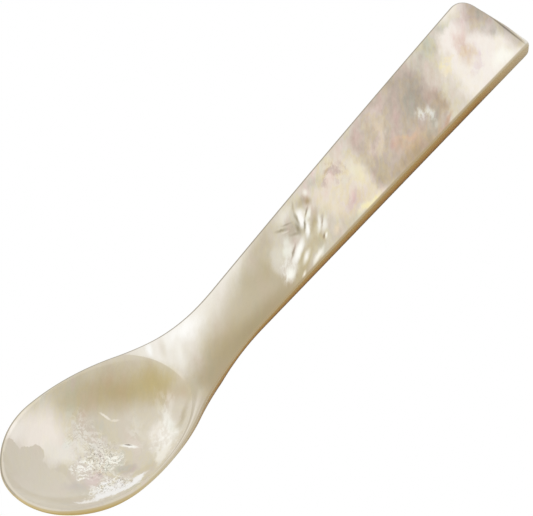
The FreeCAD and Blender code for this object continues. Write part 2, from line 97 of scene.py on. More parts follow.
def turning_place(low: float, high: float, is_before: Callable[[float], bool]) -> float:
    """Return the place where a test that holds at first stops holding.

    Args:
        low: A place where the test holds.
        high: A place where it doesn't.
        is_before: The test.
    """
    for _ in range(HALVINGS):
        middle = (low + high) / 2
        if is_before(middle):
            low = middle
        else:
            high = middle
    return (low + high) / 2


def put_in_scene(item: bpy.types.Object) -> bpy.types.Object:
    """Link an object to the scene's own collection and return it."""
    bpy.context.scene.collection.objects.link(item)
    return item


def add_node(
    tree: bpy.types.NodeTree, kind: str, links: dict, **settings: object
) -> bpy.types.Node:
    """Add a node to a tree.

    Args:
        tree: The tree that the node goes into.
        kind: The node's type.
        links: For each input, a socket to link or a plain value.
        **settings: The node's own settings.

    Returns:
        The new node.
    """
    node = tree.nodes.new(kind)
    for name, value in settings.items():
        setattr(node, name, value)
    for name, value in links.items():
        if isinstance(value, Socket):
            tree.links.new(value, node.inputs[name])
        else:
            node.inputs[name].default_value = value
    return node


@dataclass(frozen=True)
class SpoonSizes:
    """Sizes of the spoon in millimetres and degrees, stations from the tip."""

    length: float = 115.8
    bowl_width: float = 22.0
    widest: float = 14.9
    tip_fullness: float = 1.01
    flank_radius: float = 45.0
    flare_radius: float = 50.0
    neck_width: float = 9.65
    end_width: float = 13.8
    far_corner: float = 2.6
    near_corner: float = 1.0
    tip_height: float = 13.7
    rim_angle: float = 16.5
    bend_radius: float = 33.0
    neck_thickness: float = 1.75
    crown_radius: float = 1040.0
    end_thickness: float = 3.1
    toe_radius: float = 1.8
    toe_angle: float = 60.0
    tip_edge: float = 0.75
    heel: float = 41.0
    heel_sink: float = 1.6
    rim_land: float = 0.65
    hollow_station: float = 15.7
    hollow_end: float = 35.3
    bowl_wall: float = 1.15
    hollow_lift: float = 6.5
    hollow_turn: float = 0.4
    facet_tilt: float = 42.0
    facet_turn: float = 9.0
    top_arris: float = 0.32
    under_arris: float = 0.35
    lip_blend: float = 0.09
    heel_blend: float = 0.06
    facet_blend: float = 0.03
    brow_length: float = 1.4
    brow_drop: float = 0.22
    strip_start: float = 40.0


BELLY: tuple[tuple[float, float, float], ...] = (
    (-0.07, 1.19, 0.323),
    (0.0, 1.0, 0.328),
    (0.195, 0.578, 0.337),
    (0.39, 0.343, 0.356),
    (0.585, 0.194, 0.398),
    (0.78, 0.093, 0.425),
    (1.0, 0.0, 0.435),
)
"""Belly sections: share of the heel's station, of the keel's drop and of the tip's height."""


class SmoothTable:
    """A smooth curve through a short table, by cubic pieces with matched slopes."""

    def __init__(self, stations: list[float], values: list[float]) -> None:
        """Work out the slopes at the table's points.

        Args:
            stations: Rising stations.
            values: The value at each station.
        """
        self.stations = stations
        self.values = values
        last = len(stations) - 1
        steps = [
            (values[i + 1] - values[i]) / (stations[i + 1] - stations[i])
            for i in range(last)
        ]
        inner = []
        for i in range(1, last):
            before = stations[i] - stations[i - 1]
            after = stations[i + 1] - stations[i]
            inner.append((steps[i - 1] * after + steps[i] * before) / (before + after))
        first_slope = 2 * steps[0] - inner[0]
        last_slope = 2 * steps[-1] - inner[-1]
        self.slopes = [first_slope, *inner, last_slope]

    def at(self, station: float) -> float:
        """Return the curve's value, straight on beyond the last station.

        Args:
            station: Where to read the curve.
        """
        stations = self.stations
        if station >= stations[-1]:
            return self.values[-1]
        i = max(0, min(len(stations) - 2, sum(s <= station for s in stations) - 1))
        width = stations[i + 1] - stations[i]
        t = (station - stations[i]) / width
        a, b = self.values[i], self.values[i + 1]
        p, q = self.slopes[i] * width, self.slopes[i + 1] * width
        return (
            a * (1 + 2 * t) * (1 - t) ** 2
            + p * t * (1 - t) ** 2
            + b * t * t * (3 - 2 * t)
            - q * t * t * (1 - t)
        )


def smooth_min(first: float, second: float, blend: float) -> float:
    """Return the smaller value, with the crease between the two rounded.

    Args:
        first: One height.
        second: The other height.
        blend: Difference of the two within which the crease is rounded.
    """
    near = max(blend - abs(first - second), 0.0) / blend
    return min(first, second) - near * near * blend / 4


class SpoonForm:
    """The spoon's surfaces as heights over its plan, in millimetres."""

    LEAN_TRIES = 40
    """How often the handle's lean and the neck's place are set from each other."""

    OUTSIDE = 1e3
    """Height that stands for no hollow."""

    LIP_BOUNDS = (2.0, 24.0)
    """The hollow's edge lies between these distances from its middle."""

    def __init__(self, sizes: SpoonSizes) -> None:
        """Work out every derived centre and radius.

        Args:
            sizes: The spoon's sizes.
        """
        self.sizes = sizes
        self._set_outline()
        self._set_top()
        self._set_belly()
        self._set_hollow()

    def _set_outline(self) -> None:
        """Work out the plan outline's arcs and their lengths for both sides."""
        s = self.sizes
        wide = s.bowl_width / 2
        tip = s.tip_fullness * wide**2 / s.widest
        offset = s.widest - tip
        shoulder = (offset**2 + wide**2 - tip**2) / (2 * (wide - tip))
        self.tip_arc = (tip, 0.0, tip)
        self.shoulder_arc = (s.widest, wide - shoulder, shoulder)
        self.flank_arc = (s.widest, wide - s.flank_radius, s.flank_radius)
        neck_y = s.neck_width / 2
        lean = 0.0
        for _ in range(self.LEAN_TRIES):
            flare_y = neck_y + s.flare_radius * math.cos(lean)
            rise = flare_y - self.flank_arc[1]
            reach = math.sqrt((s.flank_radius + s.flare_radius) ** 2 - rise**2)
            flare_x = s.widest + reach
            neck_x = flare_x + s.flare_radius * math.sin(lean)
            lean = math.atan2(s.end_width / 2 - neck_y, s.length - neck_x)
        self.flare_arc = (flare_x, flare_y, s.flare_radius)
        self.neck = (neck_x, neck_y)
        self.lean = lean
        self.runs = {side: self._runs(side) for side in Side}

    def _runs(self, side: Side) -> list[tuple[float, Callable[[float], tuple]]]:
        """List one side's stretches as (length, point and normal at a length).

        Args:
            side: Which long side.
        """
        s = self.sizes
        corner = s.far_corner if side is Side.FAR else s.near_corner
        tip, shoulder, flank, flare = (
            self.tip_arc, self.shoulder_arc, self.flank_arc, self.flare_arc
        )
        meet = math.atan2(tip[1] - shoulder[1], tip[0] - shoulder[0])
        share = math.atan2(flare[1] - flank[1], flare[0] - flank[0])
        half_end = s.end_width / 2
        turn = corner * math.tan((math.pi / 2 + self.lean) / 2)
        side_end = (
            s.length - turn * math.cos(self.lean),
            half_end - turn * math.sin(self.lean),
        )
        corner_centre = (s.length - corner, side_end[1] - corner * math.cos(self.lean))

        def round_arc(arc: tuple, start: float, end: float) -> tuple:
            """Run round an arc; clockwise, the waste is outside it, else inside."""
            radius = arc[2]
            way = math.copysign(1.0, end - start)

            def at(length: float) -> tuple:
                angle = start + way * length / radius
                nx, ny = math.cos(angle), math.sin(angle)
                return (arc[0] + radius * nx, arc[1] + radius * ny, -way * nx, -way * ny)

            return (radius * abs(end - start), at)

        cos_lean, sin_lean = math.cos(self.lean), math.sin(self.lean)
        straight = math.dist(self.neck, side_end)

        def on_side(length: float) -> tuple:
            return (
                self.neck[0] + length * cos_lean,
                self.neck[1] + length * sin_lean,
                -sin_lean,
                cos_lean,
            )

        corner_arc = (corner_centre[0], corner_centre[1], corner)
        return [
            round_arc(tip, math.pi, meet),
            round_arc(shoulder, meet, math.pi / 2),
            round_arc(flank, math.pi / 2, share),
            round_arc(flare, share - math.pi, self.lean - math.pi / 2),
            (straight, on_side),
            round_arc(corner_arc, math.pi / 2 + self.lean, 0.0),
        ]

    def side_length(self, side: Side) -> float:
        """Return the outline's length from the tip to the end's straight edge.

        Args:
            side: Which long side.
        """
        return sum(length for length, _ in self.runs[side])

    def edge(self, side: Side, length: float, inset: float) -> Point:
        """Return the outline's point at a length from the tip, moved inwards.

        Args:
            side: Which long side.
            length: Length along the outline from the tip.
            inset: Distance inwards.
        """
        left = length
        for run_length, at in self.runs[side][:-1]:
            if left <= run_length:
                break
            left -= run_length
        else:
            at = self.runs[side][-1][1]
        x, y, nx, ny = at(left)
        return (x - nx * inset, side.value * (y - ny * inset))

    def length_at_station(self, station: float) -> float:
        """Return the outline's length from the tip to a station on the flare.

        Args:
            station: Distance from the tip along the spoon.
        """
        whole = self.side_length(Side.FAR)
        return turning_place(
            0.0, whole, lambda length: self.edge(Side.FAR, length, 0.0)[0] < station
        )

    def _set_top(self) -> None:
        """Work out the side view's top line."""
        s = self.sizes
        angle = math.radians(s.rim_angle)
        self.rim_slope = math.tan(angle)
        bend_z = s.neck_thickness + s.bend_radius
        bend_x = (s.bend_radius / math.cos(angle) - bend_z + s.tip_height) / self.rim_slope
        end = (s.length, s.end_thickness)
        apart = math.dist((bend_x, bend_z), end)
        reach = s.bend_radius + s.crown_radius
        along = (reach**2 - s.crown_radius**2 + apart**2) / (2 * apart)
        aside = math.sqrt(reach**2 - along**2)
        ux, uz = (end[0] - bend_x) / apart, (end[1] - bend_z) / apart
        crown_x = bend_x + ux * along + uz * aside
        crown_z = bend_z + uz * along - ux * aside
        self.bend = (bend_x, bend_z)
        self.crown = (crown_x, crown_z)
        self.bend_start = bend_x - s.bend_radius * math.sin(angle)
        self.bend_end = bend_x + (crown_x - bend_x) * s.bend_radius / reach
        self.facet_slope = math.tan(math.radians(s.facet_tilt))
        self.facet_skew = math.tan(math.radians(s.facet_turn))

    def top_line(self, x: float) -> float:
        """Return the height of the rim plane, the bend or the crown.

        Args:
            x: Station.
        """
        s = self.sizes
        if x < self.bend_start:
            return s.tip_height - x * self.rim_slope
        if x < self.bend_end:
            run = x - self.bend[0]
            return self.bend[1] - math.sqrt(s.bend_radius**2 - run**2)
        return self.crown[1] + math.sqrt(s.crown_radius**2 - (x - self.crown[0]) ** 2)

    def facet_line(self, y: float) -> float:
        """Return the station where the end's facet starts.

        Args:
            y: Distance from the middle.
        """
        return self.sizes.length + min(y, 0.0) * self.facet_skew

    def _set_belly(self) -> None:
        """Work out the curves of the belly's keel and cross radius."""
        s = self.sizes
        whole = s.tip_height - s.tip_edge + s.heel_sink
        half = s.bowl_width / 2
        stations = [place * s.heel for place, _, _ in BELLY]
        keels = [whole * drop - s.heel_sink for _, drop, _ in BELLY]
        rises = [share * s.tip_height for _, _, share in BELLY]
        radii = [(half**2 + rise**2) / (2 * rise) for rise in rises]
        self.keel = SmoothTable(stations, keels)
        self.cross_radius = SmoothTable(stations, radii)

    def underside(self, x: float, y: float) -> float:
        """Return the height of the underside.

        Args:
            x: Station.
            y: Distance from the middle.
        """
        s = self.sizes
        if x >= s.heel:
            start = s.length - s.toe_radius * math.sin(math.radians(s.toe_angle))
            run = max(x - start, 0.0)
            return s.toe_radius - math.sqrt(max(s.toe_radius**2 - run**2, 0.0))
        radius = self.cross_radius.at(x)
        belly = self.keel.at(x) + radius - math.sqrt(radius**2 - y**2)
        return -smooth_min(-belly, 0.0, s.heel_blend)

    def _set_hollow(self) -> None:
        """Work out the two half ellipsoids of the hollow."""
        s = self.sizes
        angle = math.radians(s.rim_angle)
        whole = s.tip_height - s.tip_edge + s.heel_sink
        places = [place for place, _, _ in BELLY]
        drops = [drop for _, drop, _ in BELLY]
        place = s.hollow_station / s.heel
        i = next(k for k in range(len(places) - 1) if places[k] <= place <= places[k + 1])
        part = (place - places[i]) / (places[i + 1] - places[i])
        keel = whole * (drops[i] + (drops[i + 1] - drops[i]) * part) - s.heel_sink
        rim = s.tip_height - s.hollow_station * self.rim_slope
        depth = (rim - keel - s.bowl_wall) * math.cos(angle)
        factor = math.sqrt(1 - (s.hollow_lift / (depth + s.hollow_lift)) ** 2)
        self.hollow_up = depth + s.hollow_lift
        self.hollow_across = (s.bowl_width / 2 - s.rim_land) / factor
        reach = math.cos(angle) * factor
        self.hollow_ahead = (s.hollow_station - s.rim_land) / reach
        self.hollow_behind = (s.hollow_end - s.hollow_station) / reach
        centre_x = s.hollow_station + s.hollow_lift * math.sin(angle)
        self.hollow_centre = Vector((centre_x, 0.0, rim + s.hollow_lift * math.cos(angle)))
        turn = math.radians(s.hollow_turn)
        self.along = Vector(
            (
                math.cos(angle) * math.cos(turn),
                math.sin(turn),
                -math.sin(angle) * math.cos(turn),
            )
        )
        self.up = Vector((math.sin(angle), 0.0, math.cos(angle)))
        self.across = self.up.cross(self.along)

    def hollow(self, x: float, y: float) -> float:
        """Return the height of the hollow's surface, or a great one outside it.

        Args:
            x: Station.
            y: Distance from the middle.
        """
        for reach, forwards in ((self.hollow_ahead, True), (self.hollow_behind, False)):
            radii = (reach, self.hollow_across, self.hollow_up)
            base = Vector((x, y, 0.0)) - self.hollow_centre
            axes = (self.along, self.across, self.up)
            starts = [base.dot(axis) / radius for axis, radius in zip(axes, radii)]
            rates = [axis.z / radius for axis, radius in zip(axes, radii)]
            a = sum(r * r for r in rates)
            b = 2 * sum(p * r for p, r in zip(starts, rates))
            c = sum(p * p for p in starts) - 1
            inside = b * b - 4 * a * c
            if inside < 0:
                continue
            z = (-b - math.sqrt(inside)) / (2 * a)
            run = starts[0] + rates[0] * z
            if (run <= 0) == forwards:
                return z
        return self.OUTSIDE

    def top(self, x: float, y: float) -> float:
        """Return the height of the upper surface.

        Args:
            x: Station.
            y: Distance from the middle.
        """
        s = self.sizes
        height = self.top_line(x)
        start = s.length - s.brow_length
        if x > start:
            height -= s.brow_drop * ((x - start) / s.brow_length) ** 2
        if x < s.strip_start:
            return smooth_min(height, self.hollow(x, y), s.lip_blend)
        facet = s.end_thickness - (x - self.facet_line(y)) * self.facet_slope
        return smooth_min(height, facet, s.facet_blend) if y < 0 else height

    def lip_reach(self, direction: Point, centre: Point) -> float:
        """Return how far the hollow's edge lies from its middle in a direction.

        Args:
            direction: Unit direction in plan.
            centre: The hollow's middle in plan.
        """

        def is_hollow(reach: float) -> bool:
            x, y = centre[0] + direction[0] * reach, centre[1] + direction[1] * reach
            return self.hollow(x, y) < self.sizes.tip_height - x * self.rim_slope

        return turning_place(*self.LIP_BOUNDS, is_hollow)


class SpoonMesh:
    """Builds the spoon's skin from mapped grids that share their borders."""

    ROUND_TIP = 236
    """Segments round the bowl from one neck side over the tip to the other."""

    TIP_CROWDING = 0.2
    """How far those segments crowd towards the tip."""

    ACROSS = 36
    """Segments across the handle."""

    LONG_ROWS = 88
    """Rows along the handle, up to the dense stretch at its end."""

    END_ROWS = 26
    """Rows in the dense stretch."""

    END_STRETCH = 4.4
    """Length of the dense stretch in millimetres."""

    HOLLOW_RINGS = 30
    """Rings from the hollow's middle to its edge."""

    BELLY_RINGS = 46
    """Rings from the belly's middle to its edge."""

    LIP_STEPS = (-0.3, -0.16, -0.09, -0.045, 0.0, 0.045, 0.09, 0.15)
    """Rings round the hollow's edge, in millimetres from it outwards."""

    LIP_CORE = 0.1
    """Rings nearer to the edge than this keep their distance on a narrow rim."""

    LIP_SHARE = 0.3
    """The others take this share of the rim's width at the most."""

    LAND_SHARES = (0.2, 0.35, 0.5, 0.7, 0.85, 1.0)
    """Rings over the rest of the rim, as shares of its width."""

    RIM_RINGS = 9
    """Outermost rings that carry the way out from the hollow, from -1 to nought."""

    ARRIS_STEPS, WALL_STEPS = 5, 4
    """Segments down each arris, and down the wall between them."""

    WALL_SHARES = (0.35, 0.93)
    """The sawn wall, on the way down from the top face to the lower one."""

    WELD = 2e-7
    """Points nearer to each other than this, in metres, are one."""

    def __init__(self, form: SpoonForm) -> None:
        """Prepare the rows and rays.

        Args:
            form: The spoon's surfaces.
        """
        self.form = form
        sizes = form.sizes
        self.centre = (sizes.hollow_station, 0.0)
        self.neck_length = form.length_at_station(sizes.strip_start)
        self.rows = self._row_shares()
        self.boundary = self._boundary()

    def _row_shares(self) -> list[float]:
        """Return the handle's rows as shares of its side, close at the end."""
        side = self.form.side_length(Side.FAR) - self.neck_length
        dense = self.END_STRETCH / side
        rows = [(1 - dense) * i / self.LONG_ROWS for i in range(self.LONG_ROWS)]
        rows += [1 - dense + dense * i / self.END_ROWS for i in range(self.END_ROWS + 1)]
        return rows

    def _boundary(self) -> list[tuple]:
        """List the stretch round the whole outline as edge parameters.

        Each item is a side and a length, or the share across the end's edge.
        """
        ring = []
        for i in range(self.ROUND_TIP + 1):
            share = 1 - 2 * i / self.ROUND_TIP
            side = Side.FAR if share >= 0 else Side.NEAR
            ring.append((side, self._tip_length(abs(share))))
        for share in self.rows[1:]:
            ring.append((Side.NEAR, self._side_length(Side.NEAR, share)))
        for i in range(1, self.ACROSS):
            ring.append((None, i / self.ACROSS))
        for share in reversed(self.rows[1:]):
            ring.append((Side.FAR, self._side_length(Side.FAR, share)))
        return ring

    def _tip_length(self, share: float) -> float:
        """Spread the points round the bowl, a little closer at the tip."""
        crowding = self.TIP_CROWDING
        return self.neck_length * ((1 - crowding) * share + crowding * share * share)

    def _side_length(self, side: Side, share: float) -> float:
        """Return the outline's length at a share of the handle's side."""
        whole = self.form.side_length(side) - self.neck_length
        return self.neck_length + share * whole

    def _cross_point(self, share: float, part: float, inset: float) -> Point:
        """Return a plan point at a share of the sides and a part of the way across."""
        near, far = (
            self.form.edge(side, self._side_length(side, share), inset)
            for side in (Side.NEAR, Side.FAR)
        )
        return between(near, far, part)

    def _edge(self, item: tuple, inset: float) -> Point:
        """Return the plan point of a boundary item, moved inwards."""
        side, value = item
        if side is not None:
            return self.form.edge(side, value, inset)
        return self._cross_point(1.0, value, inset)

    def _place(self, x: float, y: float, z: float) -> Vector:
        """Turn millimetres from the tip into metres in the part's frame."""
        return Vector((x - self.form.sizes.length / 2, y, z)) * MM

    def _grid(
        self, bm: bmesh.types.BMesh, columns: int, rows: int, mapped: Callable, down: Callable
    ) -> None:
        """Add a grid and move each of its points to where a formula puts it.

        Args:
            bm: The mesh that the grid goes into.
            columns: Segments in the first direction.
            rows: Segments in the second direction.
            mapped: Gives the place for a column and a row.
            down: Gives the way down the wall for a column and a row.
        """
        layer = bm.verts.layers.float[DOWN]
        made = bmesh.ops.create_grid(bm, x_segments=columns, y_segments=rows, size=1.0)
        for vert in made["verts"]:
            column = round((vert.co.x + 1) / 2 * columns)
            row = round((vert.co.y + 1) / 2 * rows)
            vert.co = mapped(column, row)
            vert[layer] = down(column, row)

    def _strip_point(self, column: int, row: int, inset: float) -> Point:
        """Return the plan point of the handle's grid."""
        return self._cross_point(self.rows[row], column / self.ACROSS, inset)

    def _rays(self, inset: float) -> list[Point]:
        """Return the bowl patch's border in plan, tip side first, then the neck."""
        ring = [self._edge(item, inset) for item in self.boundary[: self.ROUND_TIP + 1]]
        ring += [self._strip_point(i, 0, inset) for i in range(1, self.ACROSS)]
        return ring

    def _bowl_top(self, bm: bmesh.types.BMesh) -> None:
        """Add the hollow, its edge and the rim as one round grid."""
        form = self.form
        border = self._rays(form.sizes.top_arris)
        cx, cy = self.centre
        rays = []
        for x, y in border:
            reach = math.dist((x, y), (cx, cy))
            direction = ((x - cx) / reach, (y - cy) / reach)
            lip = form.lip_reach(direction, self.centre)
            land = reach - lip
            inner = lip + self.LIP_STEPS[0]
            steps = [inner * i / self.HOLLOW_RINGS for i in range(self.HOLLOW_RINGS)]
            for step in self.LIP_STEPS:
                room = step if step < self.LIP_CORE else self.LIP_SHARE * land
                steps.append(lip + min(step, room))
            outer = steps[-1]
            steps += [outer + (reach - outer) * share for share in self.LAND_SHARES]
            rays.append((direction, steps))
        count = len(rays)

        def mapped(column: int, row: int) -> Vector:
            direction, steps = rays[column % count]
            x, y = cx + direction[0] * steps[row], cy + direction[1] * steps[row]
            if row == len(steps) - 1:
                x, y = border[column % count]
            return self._place(x, y, form.top(x, y))

        last = len(rays[0][1]) - 1

        def down(column: int, row: int) -> float:
            return max((row - last) / self.RIM_RINGS, -1.0)

        self._grid(bm, count, last, mapped, down)

    def _bowl_under(self, bm: bmesh.types.BMesh) -> None:
        """Add the belly as one round grid."""
        form = self.form
        border = self._rays(form.sizes.under_arris)
        rings = self.BELLY_RINGS

        def mapped(column: int, row: int) -> Vector:
            place = border[column % len(border)]
            if row < rings:
                place = between(self.centre, place, row / rings)
            return self._place(*place, form.underside(*place))

        self._grid(bm, len(border), rings, mapped, lambda column, row: 1.0)

    def _handle(
        self, bm: bmesh.types.BMesh, inset: float, height: Callable, down: float
    ) -> None:
        """Add the handle's upper or lower face."""

        def mapped(column: int, row: int) -> Vector:
            x, y = self._strip_point(column, row, inset)
            return self._place(x, y, height(x, y))

        self._grid(bm, self.ACROSS, len(self.rows) - 1, mapped, lambda column, row: down)

    def _band(self, bm: bmesh.types.BMesh) -> None:
        """Add the wall with its two arrises as one grid round the outline."""
        form, sizes = self.form, self.form.sizes
        turns = [math.pi / 2 * i / self.ARRIS_STEPS for i in range(self.ARRIS_STEPS + 1)]
        arris = [(1 - math.sin(turn), 1 - math.cos(turn)) for turn in turns]
        profile = [("top", sizes.top_arris * a, sizes.top_arris * b) for a, b in arris]
        profile += [("wall", 0.0, i / self.WALL_STEPS) for i in range(1, self.WALL_STEPS)]
        profile += [
            ("under", sizes.under_arris * a, sizes.under_arris * b) for a, b in reversed(arris)
        ]
        count = len(self.boundary)

        def mapped(column: int, row: int) -> Vector:
            item = self.boundary[column % count]
            kind, inset, amount = profile[row]
            x, y = self._edge(item, inset)
            high = form.top(x, y)
            low = form.underside(x, y)
            if kind == "top":
                return self._place(x, y, high - amount)
            if kind == "under":
                return self._place(x, y, low + amount)
            high -= sizes.top_arris
            low += sizes.under_arris
            return self._place(x, y, high + (low - high) * amount)

        last = len(profile) - 1
        self._grid(bm, count, last, mapped, lambda column, row: row / last)

    def build(self) -> bpy.types.Object:
        """Make the object: all the grids, welded along their borders."""
        form, sizes = self.form, self.form.sizes
        bm = bmesh.new()
        bm.verts.layers.float.new(DOWN)
        self._bowl_top(bm)
        self._handle(bm, sizes.top_arris, form.top, 0.0)
        self._band(bm)
        self._bowl_under(bm)
        self._handle(bm, sizes.under_arris, form.underside, 1.0)
        bmesh.ops.remove_doubles(bm, verts=bm.verts, dist=self.WELD)
        bmesh.ops.recalc_face_normals(bm, faces=bm.faces)
        layer = bm.verts.layers.float[DOWN]
        low, high = self.WALL_SHARES
        for face in bm.faces:
            down = sum(vert[layer] for vert in face.verts) / len(face.verts)
            face.material_index = (down > low) + (down > high)
        open_edges = sum(not edge.is_manifold for edge in bm.edges)
        log.info("spoon skin: %d faces, %d open edges", len(bm.faces), open_edges)
        mesh = bpy.data.meshes.new("spoon_skin")
        bm.to_mesh(mesh)
        bm.free()
        for polygon in mesh.polygons:
            polygon.use_smooth = True
        return put_in_scene(bpy.data.objects.new("spoon_skin", mesh))


@dataclass(frozen=True)
class PhotoCamera:
    """The camera as solved from the photograph, in millimetres and degrees."""

    azimuth: float = -52.44
    elevation: float = 57.5
    distance: float = 650.0
    aim: tuple[float, float, float] = (2.6, 2.48, 0.0)
    focal_px: float = 4310.0
    sensor: float = 36.0

    def build(self) -> None:
        """Create the camera and make it the scene's."""
        azimuth, elevation = math.radians(self.azimuth), math.radians(self.elevation)
        back = Vector(
            (
                math.sin(azimuth) * math.cos(elevation),
                -math.cos(azimuth) * math.cos(elevation),
                math.sin(elevation),
            )
        )
        data = bpy.data.cameras.new("photo_camera")
        data.sensor_width = self.sensor
        data.lens = self.focal_px * self.sensor / IMAGE_WIDTH_PX
        data.clip_start, data.clip_end = 0.01, 20.0
        camera = put_in_scene(bpy.data.objects.new("photo_camera", data))
        camera.location = (Vector(self.aim) + back * self.distance) * MM
        camera.rotation_mode = "QUATERNION"
        camera.rotation_quaternion = (-back).to_track_quat("-Z", "Y")
        bpy.context.scene.camera = camera


@dataclass(frozen=True)
class Softbox:
    """A square lamp that faces the spoon's middle, in metres and watts."""

    name: str
    place: tuple[float, float, float]
    watts: float
    width: float = 0.5

    def build(self) -> None:
        """Hang the lamp."""
        data = bpy.data.lights.new(self.name, "AREA")
        data.shape = "RECTANGLE"
        data.size = data.size_y = self.width
        data.energy = self.watts
        lamp = put_in_scene(bpy.data.objects.new(self.name, data))
        lamp.location = self.place
        lamp.rotation_mode = "QUATERNION"
        lamp.rotation_quaternion = (-Vector(self.place)).to_track_quat("-Z", "Y")


@dataclass(frozen=True)
class Studio:
    """The white ground and the soft lights."""

    air_strength: float = 0.85
    ground_half: float = 2.0
    ground_colour: str = "#f2f1ee"
    lamps: tuple[Softbox, ...] = (
        Softbox("key_softbox", (-0.3, 0.55, 0.65), 1.7),
        Softbox("fill_softbox", (-0.7, -0.45, 0.45), 0.8),
    )

    def build(self) -> None:
        """Make the world, the floor and the lamps."""
        self._world()
        self._floor()
        for lamp in self.lamps:
            lamp.build()

    def _world(self) -> None:
        """Light everything evenly and softly from all round."""
        world = bpy.data.worlds.new("studio_air")
        bpy.context.scene.world = world
        world.use_nodes = True
        background = world.node_tree.nodes["Background"]
        background.inputs["Color"].default_value = linear("#ffffff")
        background.inputs["Strength"].default_value = self.air_strength

    def _floor(self) -> None:
        """Lay the ground."""
        bm = bmesh.new()
        bmesh.ops.create_grid(bm, x_segments=1, y_segments=1, size=self.ground_half)
        mesh = bpy.data.meshes.new("white_ground")
        bm.to_mesh(mesh)
        bm.free()
        mesh.materials.append(self._ground())
        floor = put_in_scene(bpy.data.objects.new("white_ground", mesh))

    def _ground(self) -> bpy.types.Material:
        """Make matt white paper that is pure white to the camera's eye."""
        material = bpy.data.materials.new("white_ground")
        material.use_nodes = True
        tree = material.node_tree
        tree.nodes.clear()
        plain = add_node(tree, "ShaderNodeBsdfDiffuse", {"Color": linear(self.ground_colour)})
        white = add_node(tree, "ShaderNodeEmission", {"Color": linear("#ffffff")})
        path = add_node(tree, "ShaderNodeLightPath", {})
        parts = {0: path.outputs["Is Camera Ray"], 1: plain.outputs[0], 2: white.outputs[0]}
        mix = add_node(tree, "ShaderNodeMixShader", parts)
        add_node(tree, "ShaderNodeOutputMaterial", {"Surface": mix.outputs[0]})
        return material


class Breakup(Enum):
    """How a cloud's inside is broken up."""

    WHOLE = "whole"
    MOTTLED = "mottled"
    STREAKED = "streaked"
    FLECKED = "flecked"
    VEINED = "veined"


@dataclass(frozen=True)
class Cloud:
    """One cloud of the nacre's colour, or of painted light or shade on it, an ellipse in plan
    with a faded border.

    Places are in millimetres from the tip and from the middle, reaches are half
    lengths in millimetres, and the turn is in degrees from the spoon's length.
    Fade is the share of the reach that the border takes.  Wander is how many
    millimetres the border wanders.
    """

    place: Point
    reach: Point
    turn: float
    colour: str
    fade: float = 0.8
    wander: float = 2.0
    breakup: Breakup = Breakup.WHOLE
    strength: float = 1.0


def stroke(start: Point, end: Point, half_width: float, colour: str, fade: float = 0.7) -> Cloud:
    """Return a narrow cloud from one place to another.

    Args:
        start: One end, in millimetres from the tip and from the middle.
        end: The other end.
        half_width: Half the width in millimetres.
        colour: Its colour.
        fade: The share of the width that the border takes.
    """
    middle = ((start[0] + end[0]) / 2, (start[1] + end[1]) / 2)
    turn = math.degrees(math.atan2(end[1] - start[1], end[0] - start[0]))
    reach = (math.dist(start, end) / 2 + half_width, half_width)
    return Cloud(middle, reach, turn, colour, fade, 0.35)


NECK_TONES_AND_PAINTED_LIGHT: tuple[Cloud, ...] = (
    Cloud((45.0, 2.0), (17.0, 12.0), 0.0, "#f2ede3", 0.4, 1.0),
    # Partly painted shade: the khaki clouds and the dark stroke on the neck's near side below
    # are the shell's tone, darkened with painted shade.
    Cloud((53.0, -5.0), (27.0, 11.4), 0.0, "#ad9d79", 1.0, 0.6),
    Cloud((43.5, -3.0), (10.5, 5.6), 12.0, "#b1a27d", 1.0, 0.8),
    Cloud((38.5, -5.5), (9.0, 6.0), 18.0, "#ad9d7a", 0.9, 1.0),
    Cloud((56.5, 0.4), (13.0, 5.4), 5.0, "#b8ac8e", 1.0, 1.0),
    stroke((38.0, -4.2), (58.0, -4.6), 3.0, "#a3936c", 1.0),
    # Painted highlight: the bright patch and the white streaks near the neck's far edge below.
    Cloud((42.0, 3.6), (6.0, 2.2), 0.0, "#fffdf8", 1.0, 1.0),
    stroke((38.4, 5.4), (35.8, 2.0), 0.9, "#e4ddcf", 1.0),
    stroke((36.3, 6.4), (34.5, 4.0), 0.8, "#fffefa", 0.9),
    stroke((41.4, 4.4), (36.2, -0.4), 0.8, "#f4f0e6", 1.0),
)
# The neck's clouds, the lowest first: its tones, with painted highlights and shade among them.
"""The neck's clouds, the lowest first."""

